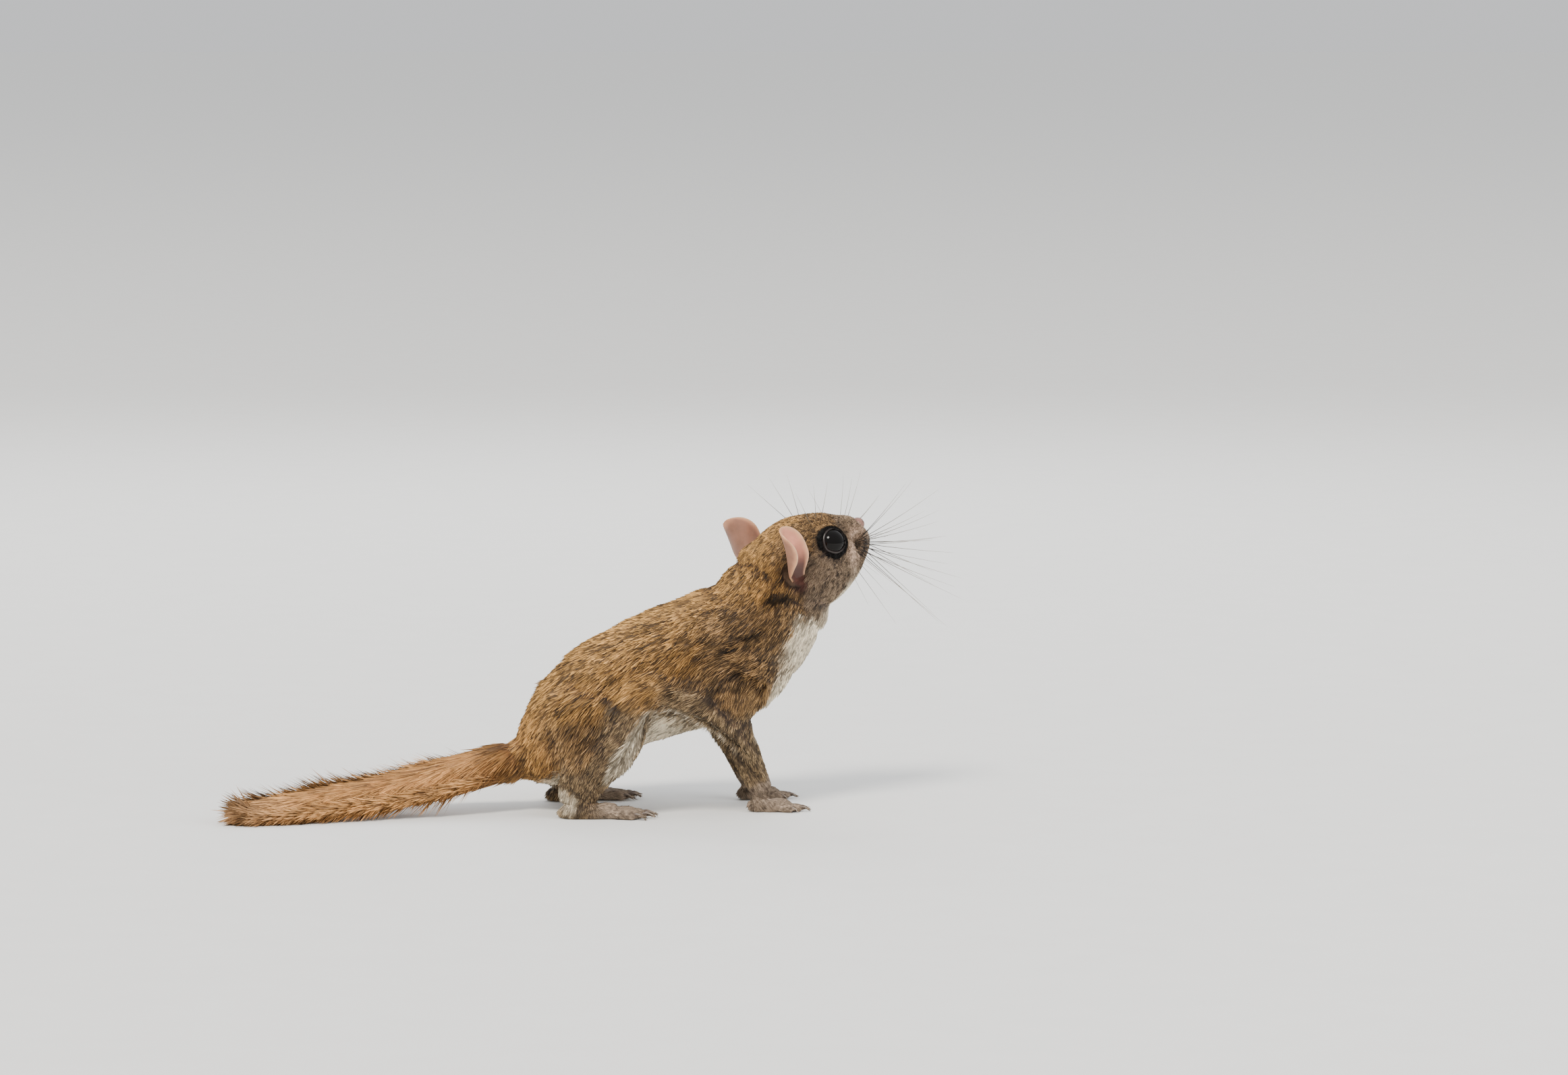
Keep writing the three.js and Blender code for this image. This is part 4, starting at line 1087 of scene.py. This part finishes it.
    @staticmethod
    def pieces(root, corners, tone, lean, patch):
        """The tufts in eight pieces of equal count, in order along the body."""
        made = hair_material()
        order = np.argsort(root[:, 0])
        for name, part in zip(COAT_PIECES, np.array_split(order, len(COAT_PIECES))):
            count = len(part)
            pattern = np.array([[0, 2, 1], [1, 2, 3], [0, 1, 3], [0, 3, 2]])
            faces = (np.arange(count)[:, None, None] * 4 + pattern[None]).reshape(-1, 3)
            mesh = make_mesh(name, corners[part].reshape(-1, 3), faces, lean[part].reshape(-1, 3))
            paint(mesh, "Hair", tone[part].reshape(-1, 3))
            layer = mesh.uv_layers.new(name="OFBake")
            layer.data.foreach_set("uv", patch[part].reshape(-1, 2)[faces.ravel()].astype(np.float32).ravel())
            add_piece(mesh, made)


def ball(radius, rings=40, around=64):
    """A ball about its own z: (R sin p cos a, R sin p sin a, R cos p)."""
    p = np.linspace(0, np.pi, rings + 2)[1:-1]
    a = np.arange(around) * 2 * np.pi / around
    grid = np.stack(
        [
            np.sin(p)[:, None] * np.cos(a),
            np.sin(p)[:, None] * np.sin(a),
            np.broadcast_to(np.cos(p)[:, None], (rings, around)),
        ],
        -1,
    )
    points = np.concatenate([grid.reshape(-1, 3), [[0, 0, 1.0]], [[0, 0, -1.0]]]) * radius
    return points, rings_to_faces(rings, around, True)


class SQUIRREL_OT_eyes(Operator):
    """Set the wet black eyes and their lids"""

    bl_idname = "squirrel.eyes"
    bl_label = "Eyes and lids"

    def execute(self, context):
        s = settings().head
        radius = s.eye_radius / MM
        glossy, nodes, links, shader = material("eye_gloss", 0.03, 0.3)
        read = nodes.new("ShaderNodeAttribute")
        read.attribute_name = "Iris"
        links.new(read.outputs["Color"], shader.inputs["Base Color"])
        shader.inputs["IOR"].default_value = 1.36
        bare, nodes, links, shader = material("lid_skin", 0.35, 0.5)
        base = nodes.new("ShaderNodeRGB")
        base.outputs[0].default_value = (*linear(s.lid), 1)
        colour, grain, _ = mottled(nodes, links, base.outputs[0], 900, 0.3)
        links.new(colour, shader.inputs["Base Color"])
        bumped(nodes, links, shader, grain, 0.0001)
        for side, name in ((RIGHT, "right"), (LEFT, "left")):
            u, v, w = looking(head_turned(EYE_LOOK, side))
            centre = on_head(*EYE_AT, side)
            points, faces = ball(radius * 0.985)
            bulge = 1 + 0.05 * smoothstep(0.55, 1.0, points[:, 2] / radius)
            local = points * bulge[:, None]
            world = centre + local[:, :1] * u + local[:, 1:2] * v + local[:, 2:3] * w
            mesh = make_mesh("eyeball_" + name, world, outward(world, faces))
            rim = smoothstep(0.75, 0.35, points[:, 2] / radius)[:, None]
            paint(mesh, "Iris", mixed(linear(s.eye), linear(s.iris), rim))
            add_piece(mesh, glossy, ["eye_" + name])
            mesh = make_mesh("lids_" + name, *self.rim(radius, centre, u, v, w))
            add_piece(mesh, bare)
        return {"FINISHED"}

    @staticmethod
    def rim(radius, centre, u, v, w):
        """The bare rim of the lids: a ring on the ball at the edge of the opening.

        Its centre line is at (R + 0.08)(sin o (cos a u + sin a v) + cos o w), with o the lids' opening at a,
        and its tube is about 0.8 mm wide and 0.55 mm thick.
        """
        steps, around = 120, 12
        a = np.arange(steps) * 2 * np.pi / steps
        b = np.arange(around) * 2 * np.pi / around
        o = np.radians(lid_opening((np.degrees(a) + 180) % 360 - 180) + 1)
        aside = np.cos(a)[:, None] * u + np.sin(a)[:, None] * v
        outwards = np.sin(o)[:, None] * aside + np.cos(o)[:, None] * w
        radial = np.cos(o)[:, None] * aside - np.sin(o)[:, None] * w
        tube = (0.3 + 0.05 * np.sin(a) ** 2)[:, None]
        ring = (
            (centre + (radius + 0.08) * outwards)[:, None]
            + radial[:, None] * (tube * np.cos(b) * 1.3)[..., None]
            + outwards[:, None] * (tube * np.sin(b) * 0.9)[..., None]
        )
        i, k = np.meshgrid(np.arange(steps), np.arange(around), indexing="ij")
        here, beside = i * around + k, i * around + (k + 1) % around
        on, cross = (i + 1) % steps * around + k, (i + 1) % steps * around + (k + 1) % around
        faces = np.concatenate([np.stack([here, on, cross], -1), np.stack([here, cross, beside], -1)])
        faces = faces.reshape(-1, 3)
        points = ring.reshape(-1, 3)
        return points, outward(points - centre, faces)


class SQUIRREL_OT_ears(Operator):
    """Shape the thin ears, cupped forwards and turned out"""

    bl_idname = "squirrel.ears"
    bl_label = "Ears"

    def execute(self, context):
        s = settings().head
        made, _, _, shader = painted_material("ear_skin", "Ear", 0.5, 0.4, 350, 0.14, 0.00025)
        shader.inputs["Subsurface Weight"].default_value = 0.25
        shader.inputs["Subsurface Scale"].default_value = 0.002
        shader.inputs["Subsurface Radius"].default_value = (1.0, 0.4, 0.25)
        for side, name in ((RIGHT, "right"), (LEFT, "left")):
            points, faces, tint = self.ear(s, side)
            mesh = make_mesh("auricle_" + name, points, outward(points, faces))
            paint(mesh, "Ear", tint)
            add_piece(mesh, made, ["ear_" + name])
        return {"FINISHED"}

    @staticmethod
    def ear(s, side):
        """A curved sheet with a thickness.

        point = root + up H (t - 0.02) + face (0.9 R - R cos a) + across R sin a. face turns round the ear's
        axis from sideways at the root to forwards at the tip, R is the cup's radius and a runs over its
        spread, which narrows to the root and closes to a round tip. The inner and outer sheet are R ± half
        the wall and meet at the edge.
        """
        high = s.ear_height / MM
        rows, cols = 60, 40
        q = np.linspace(0, 1, rows)
        t = 0.992 * (1 - (1 - q) ** 1.5)
        turn = np.radians(curve([92, 84, 62, 38, 20], t))
        radius = curve([4.2, 4.6, 5.2, 6.0, 6.6, 6.8, 6.6], t)
        spread = np.radians(curve([76, 76, 72, 70, 70, 70, 70], t)) * round_ends(t, 1e-6, 0.42)
        spread = spread * (0.5 + 0.5 * smoothstep(0, 0.4, t))
        wall = 0.42 + 0.35 * (1 - t)
        up = EAR_UP
        face = np.stack([np.cos(turn), np.sin(turn), 0 * turn], -1)
        face = unit(face - up * (face @ up)[:, None])
        across = np.cross(up, face)
        k = np.linspace(-1, 1, cols)
        sheets = []
        for half in (-0.5, 0.5):
            a = spread[:, None] * k[None]
            edge = 1 - np.abs(k[None]) ** 6
            r = radius[:, None] - 0.55 + half * wall[:, None] * edge
            wave = 0.25 * np.sin(9 * t[:, None] + 2.2 * k[None]) * np.abs(k[None]) ** 3
            fold = 0.35 * np.exp(-(((k[None] - 0.62) / 0.16) ** 2)) * (1 - t[:, None])
            fold = fold * (1 if half < 0 else 0.6)
            local = (
                np.array(EAR_ROOT)
                + up * (high * (t - 0.02) - 0.5 * wall * t)[:, None, None]
                + face[:, None] * (0.9 * radius[:, None] - (r + wave - fold) * np.cos(a))[..., None]
                + across[:, None] * ((r + wave) * np.sin(a))[..., None]
            )
            sheets.append(local)
        inner, outer = sheets
        ring = np.concatenate([inner, outer[:, ::-1]], 1)
        around = ring.shape[1]
        flat = ring.reshape(-1, 3)
        world = HEAD_AT + flat[:, :1] * AHEAD + side * flat[:, 1:2] * ASIDE + flat[:, 2:3] * ABOVE
        points = np.concatenate([world, world[:around].mean(0)[None], world[-around:].mean(0)[None]])
        faces = rings_to_faces(rows, around, True)
        inside = np.concatenate([np.ones(cols), np.zeros(cols)])[None]
        kk = np.concatenate([np.abs(k), np.abs(k)])[None]
        rim = smoothstep(0.72, 1.0, kk) + 0 * t[:, None]
        rim = np.maximum(rim, smoothstep(0.86, 1.0, t)[:, None])[..., None]
        vein = noise(flat * (1, 1, 0.5), 1.5, 61).reshape(rows, around)
        tint = inside[..., None] * linear(s.ear_inside) + (1 - inside[..., None]) * linear(s.ear_back)
        # Painted shade: the inside darkens towards the root, to the ear's cup shade colour
        deep = (inside * smoothstep(0.62, 0.2, t)[:, None])[..., None]
        tint = mixed(tint, linear(s.ear_cup_shade), deep)
        tint = tint * (1 + 0.16 * vein[..., None])
        tint = mixed(tint, linear(s.ear_rim), rim)
        # Painted shade: inside and back both darken towards the root of the ear
        tint = tint * (0.75 + 0.25 * smoothstep(0.05, 0.4, t))[:, None, None]
        tint = tint.reshape(-1, 3)
        return points, faces, np.concatenate([tint, tint[:1], tint[-1:]])


class SQUIRREL_OT_nose(Operator):
    """Shape the nose pad and its nostrils"""

    bl_idname = "squirrel.nose"
    bl_label = "Nose"

    def execute(self, context):
        s = settings().head
        made, nodes, links, shader = material("nose_skin", 0.4, 0.5)
        read = nodes.new("ShaderNodeAttribute")
        read.attribute_name = "Nose"
        colour, _, where = mottled(nodes, links, read.outputs["Color"], 700, 0.12)
        links.new(colour, shader.inputs["Base Color"])
        cells = nodes.new("ShaderNodeTexVoronoi")
        cells.inputs["Scale"].default_value = 3500
        links.new(where, cells.inputs["Vector"])
        bumped(nodes, links, shader, cells.outputs["Distance"], 0.00012)
        points, faces, tint = self.nose(s)
        mesh = make_mesh("nose_pad", points, outward(points, faces))
        paint(mesh, "Nose", tint)
        add_piece(mesh, made, ["nose"])
        return {"FINISHED"}

    @staticmethod
    def nose(s):
        """An ellipsoid with dents: point × (1 - depth · exp(-(gap / size)²)) at each nostril and the cleft."""
        points, faces = ball(1.0, 60, 90)
        p = points * (2.2, 2.6, 2.0)
        # Painted shade: the colour darkens in the dents of the nostrils and the cleft
        shade = np.ones(len(p))
        for out in (RIGHT, LEFT):
            gap = np.linalg.norm((p - (1.7, 1.5 * out, -0.1)) / (1, 0.75, 0.6), axis=1)
            dent = np.exp(-((gap / 0.62) ** 2))
            p = p * (1 - 0.45 * dent)[:, None]
            shade *= 1 - 0.93 * np.clip(dent * 1.3, 0, 1)
        cleft = np.exp(-((p[:, 1] / 0.22) ** 2)) * smoothstep(0.6, 1.6, p[:, 0])
        cleft = cleft * smoothstep(0.9, -0.4, p[:, 2])
        p = p * (1 - 0.12 * cleft)[:, None]
        shade *= 1 - 0.5 * cleft
        world = on_head(NOSE_AT[0] + p[:, 0], p[:, 1], NOSE_AT[2] + p[:, 2])
        return world, faces, linear(s.nose) * shade[:, None]


class SQUIRREL_OT_whiskers(Operator):
    """Set the whiskers of both pads and the brows"""

    bl_idname = "squirrel.whiskers"
    bl_label = "Whiskers"

    def execute(self, context):
        s = settings().head
        made, _, _, _ = painted_material("whisker_hair", "Whisker", 0.35, 0.5, 500, 0.05)
        for side, name in ((RIGHT, "right"), (LEFT, "left")):
            pieces, tints = [], []
            for root, aim, length in self.roots(s, side):
                points, faces, t = self.whisker(root, aim, length, s.whisker_width / MM)
                pieces.append((points, faces))
                tints.append(mixed(linear(s.whisker_root), linear(s.whisker_tip), t))
            points, faces = joined(pieces)
            mesh = make_mesh("vibrissae_" + name, points, faces)
            paint(mesh, "Whisker", np.concatenate(tints))
            add_piece(mesh, made, ["whiskers_" + name])
        return {"FINISHED"}

    @staticmethod
    def roots(s, side):
        """Rows of roots on the pad, each with its aim and length, then a few over the eye."""
        rng = np.random.default_rng(71 + side)
        longest = s.whisker_length / MM
        found = []
        for row in range(4):
            for n in range(5 if row < 3 else 4):
                ahead, out, up = 1.5 - 1.0 * n, 1.9 - 0.12 * (n - 2) ** 2, 1.3 - 0.95 * row
                root = on_head(PAD_AT[0] + ahead, PAD_AT[1] + out, PAD_AT[2] + up, side)
                pitch = math.radians(16 - 26 * row - 5 * n + rng.uniform(-5, 5))
                spread = math.radians(25 + 13 * n + rng.uniform(-5, 5))
                level = math.cos(pitch)
                aim = head_turned((level * math.cos(spread), level * math.sin(spread), math.sin(pitch)), side)
                found.append((root, aim, longest * (0.55 + 0.11 * n) * rng.uniform(0.88, 1.08)))
        for n in range(3):
            root = on_head(9.5 - 1.2 * n, 6.6, 6.4 + 0.3 * n, side)
            found.append((root, head_turned((0.55 - 0.3 * n, 0.55, 0.75), side), longest * (0.35 + 0.06 * n)))
        return found

    @staticmethod
    def whisker(root, aim, length, width):
        """A thin taper: root + aim length q + sag q², its half width (1 - q)^0.8 of the root's."""
        q = np.linspace(0, 1, 16)[:, None]
        sag = np.array([-0.05, 0, 0.05]) * length
        path = root - 0.8 * aim + aim * length * q + sag * q**2
        size = width / 2 * (1 - q[:, 0] ** 1.3 * 0.85)
        ring = np.interp(np.linspace(0, 1, 20), q[:, 0], size)
        points, faces = swept(path, ring, ring, rings=18, around=5)
        t = np.concatenate([np.repeat(np.linspace(0, 1, 20)[1:-1], 5), [0, 1]])[:, None]
        return points, faces, smoothstep(0.1, 0.7, t)


class SQUIRREL_OT_claws(Operator):
    """Fit the curved claws to all toes"""

    bl_idname = "squirrel.claws"
    bl_label = "Claws"

    def execute(self, context):
        s = settings().head
        made, *_ = painted_material("claw_horn", "Claw", 0.3, 0.5, 800, 0.1, 0.00005)
        for foot, name in ((HIND_FOOT, "hind_foot"), (FORE_FOOT, "forefoot")):
            for side, hand in ((RIGHT, "right"), (LEFT, "left")):
                pieces, tints = [], []
                for points, faces, t in self.claws(foot, side):
                    pieces.append((points, faces))
                    tints.append(mixed(linear(s.claw_root), linear(s.claw_tip), t))
                points, faces = joined(pieces)
                mesh = make_mesh(f"claws_{name}_{hand}", points, faces)
                paint(mesh, "Claw", np.concatenate(tints))
                add_piece(mesh, made)
        return {"FINISHED"}

    @staticmethod
    def claws(foot, side):
        """For each toe a hook from above its end, forwards and down to a point just over the floor."""
        heading = math.radians(foot["heading"] * side)
        ahead = np.array([math.cos(heading), math.sin(heading), 0])
        cross = np.array([-ahead[1], ahead[0], 0])
        heel = np.array([foot["heel"][0], foot["heel"][1] * side, 0])
        palm = foot["length"] * 0.62
        thick = foot["thick"]
        for n in range(foot["toes"]):
            p = n / (foot["toes"] - 1) - 0.5
            root = heel + ahead * (palm - 1.5 - 5 * p * p) + cross * (p * foot["half"] * 1.7)
            reach = foot["length"] - palm - foot["claw"] + 1 - 9 * p * p
            turn = heading + p * math.radians(foot["fan"])
            way = np.array([math.cos(turn), math.sin(turn), 0])
            tall = np.array([0, 0, 1.0])
            path = np.stack(
                [
                    root + way * (reach - 1.5) + tall * thick * 1.1,
                    root + way * (reach + 0.1) + tall * thick * 1.55,
                    root + way * (reach + foot["claw"] * 0.6) + tall * thick * 1.25,
                    root + way * (reach + foot["claw"]) + tall * thick * 0.25,
                ]
            )
            q = np.linspace(0, 1, 16)
            size = thick * 0.46 * (1 - 0.92 * q)
            points, faces = swept(path, size * 0.75, size, rings=14, around=10)
            t = np.concatenate([np.repeat(q[1:-1], 10), [0, 1]])[:, None]
            yield points, faces, smoothstep(0.15, 0.9, t)


class SQUIRREL_OT_stage(Operator):
    """Lay the plain floor and set the soft studio light"""

    bl_idname = "squirrel.stage"
    bl_label = "Stage"

    def execute(self, context):
        s = settings().stage
        r = np.array([0.4, 1.2, 3.0, 36.0]) / MM
        rings, around = len(r), 96
        k = np.arange(around)
        a = k * 2 * np.pi / around
        ring = np.stack([r[:, None] * np.cos(a), r[:, None] * np.sin(a), np.zeros((rings, around))], -1)
        points = np.concatenate([ring.reshape(-1, 3), [[0, 0, 0]]])
        faces = [np.stack([np.full(around, rings * around), k, (k + 1) % around], -1)]
        for i in range(rings - 1):
            here, after = i * around + k, i * around + (k + 1) % around
            faces.append(np.stack([here, here + around, after + around], -1))
            faces.append(np.stack([here, after + around, after], -1))
        points[:, 2] = -SHIFT[2]
        mesh = make_mesh("floor", points, np.concatenate(faces))
        made, nodes, links, shader = material("floor_paper", 0.85, 0.1)
        base = nodes.new("ShaderNodeRGB")
        base.outputs[0].default_value = (*linear(s.floor), 1)
        colour, _, _ = mottled(nodes, links, base.outputs[0], 60, 0.01)
        links.new(colour, shader.inputs["Base Color"])
        mesh.materials.append(made)
        floor = bpy.data.objects.new("floor", mesh)
        context.scene.collection.objects.link(floor)

        middle = Vector(placed((30, 0, 35)))
        for name, at, size, power in (
            ("key light", (-2.6, -4.0, 5.4), 2.1, s.key),
            ("fill light", (1.1, -0.8, 0.5), 1.2, s.fill),
            ("rim light", (0.1, 1.1, 0.9), 0.8, s.rim),
        ):
            data = bpy.data.lights.new(name, "AREA")
            data.shape = "DISK"
            data.size = size
            data.energy = power
            data.color = (1.0, 0.94, 0.86) if name == "key light" else (0.95, 0.97, 1.0)
            light = bpy.data.objects.new(name, data)
            light.location = middle + Vector(at)
            light.rotation_mode = "QUATERNION"
            light.rotation_quaternion = (-Vector(at)).to_track_quat("-Z", "Y")
            light.visible_glossy = name == "key light"
            context.scene.collection.objects.link(light)
        world = bpy.data.worlds.new("studio")
        world.use_nodes = True
        nodes, links = world.node_tree.nodes, world.node_tree.links
        where = nodes.new("ShaderNodeTexCoord")
        split = nodes.new("ShaderNodeSeparateXYZ")
        links.new(where.outputs["Generated"], split.inputs["Vector"])
        ramp = nodes.new("ShaderNodeMapRange")
        ramp.inputs["From Min"].default_value = 0.0
        ramp.inputs["From Max"].default_value = 1.0
        ramp.inputs["To Min"].default_value = s.sky
        ramp.inputs["To Max"].default_value = s.sky * 1.27
        links.new(split.outputs["Z"], ramp.inputs["Value"])
        nodes["Background"].inputs["Color"].default_value = (0.97, 0.98, 1.0, 1)
        links.new(ramp.outputs["Result"], nodes["Background"].inputs["Strength"])
        context.scene.world = world
        return {"FINISHED"}


class SQUIRREL_PT_pieces(Panel):
    """Lists the pieces of the model"""

    bl_idname = "SQUIRREL_PT_pieces"
    bl_label = "Flying Squirrel"
    bl_space_type = "VIEW_3D"
    bl_region_type = "UI"
    bl_category = "Squirrel"

    def draw(self, context):
        for step in STEPS:
            self.layout.operator(step.bl_idname)
        for group in ("coat", "head", "stage", "palette"):
            box = self.layout.box()
            owner = getattr(context.scene.squirrel, group)
            for name in owner.__annotations__:
                box.prop(owner, name)


STEPS = (
    SQUIRREL_OT_camera,
    SQUIRREL_OT_skin,
    SQUIRREL_OT_coat,
    SQUIRREL_OT_eyes,
    SQUIRREL_OT_ears,
    SQUIRREL_OT_nose,
    SQUIRREL_OT_whiskers,
    SQUIRREL_OT_claws,
    SQUIRREL_OT_stage,
)
GROUPS = (PaletteSettings, CoatSettings, HeadSettings, StageSettings, SquirrelSettings)
CLASSES = (*GROUPS, *STEPS, SQUIRREL_PT_pieces)
SHIFT = find_shift()


def register():
    """Register the settings, operators and panel."""
    for cls in CLASSES:
        bpy.utils.register_class(cls)
    bpy.types.Scene.squirrel = PointerProperty(type=SquirrelSettings)


def unregister():
    """Take them away again."""
    del bpy.types.Scene.squirrel
    for cls in reversed(CLASSES):
        bpy.utils.unregister_class(cls)


def main():
    """Make every piece in order."""
    register()
    bpy.ops.squirrel.camera()
    bpy.ops.squirrel.skin()
    bpy.ops.squirrel.coat()
    bpy.ops.squirrel.eyes()
    bpy.ops.squirrel.ears()
    bpy.ops.squirrel.nose()
    bpy.ops.squirrel.whiskers()
    bpy.ops.squirrel.claws()
    bpy.ops.squirrel.stage()


if __name__ == "__main__":
    main()
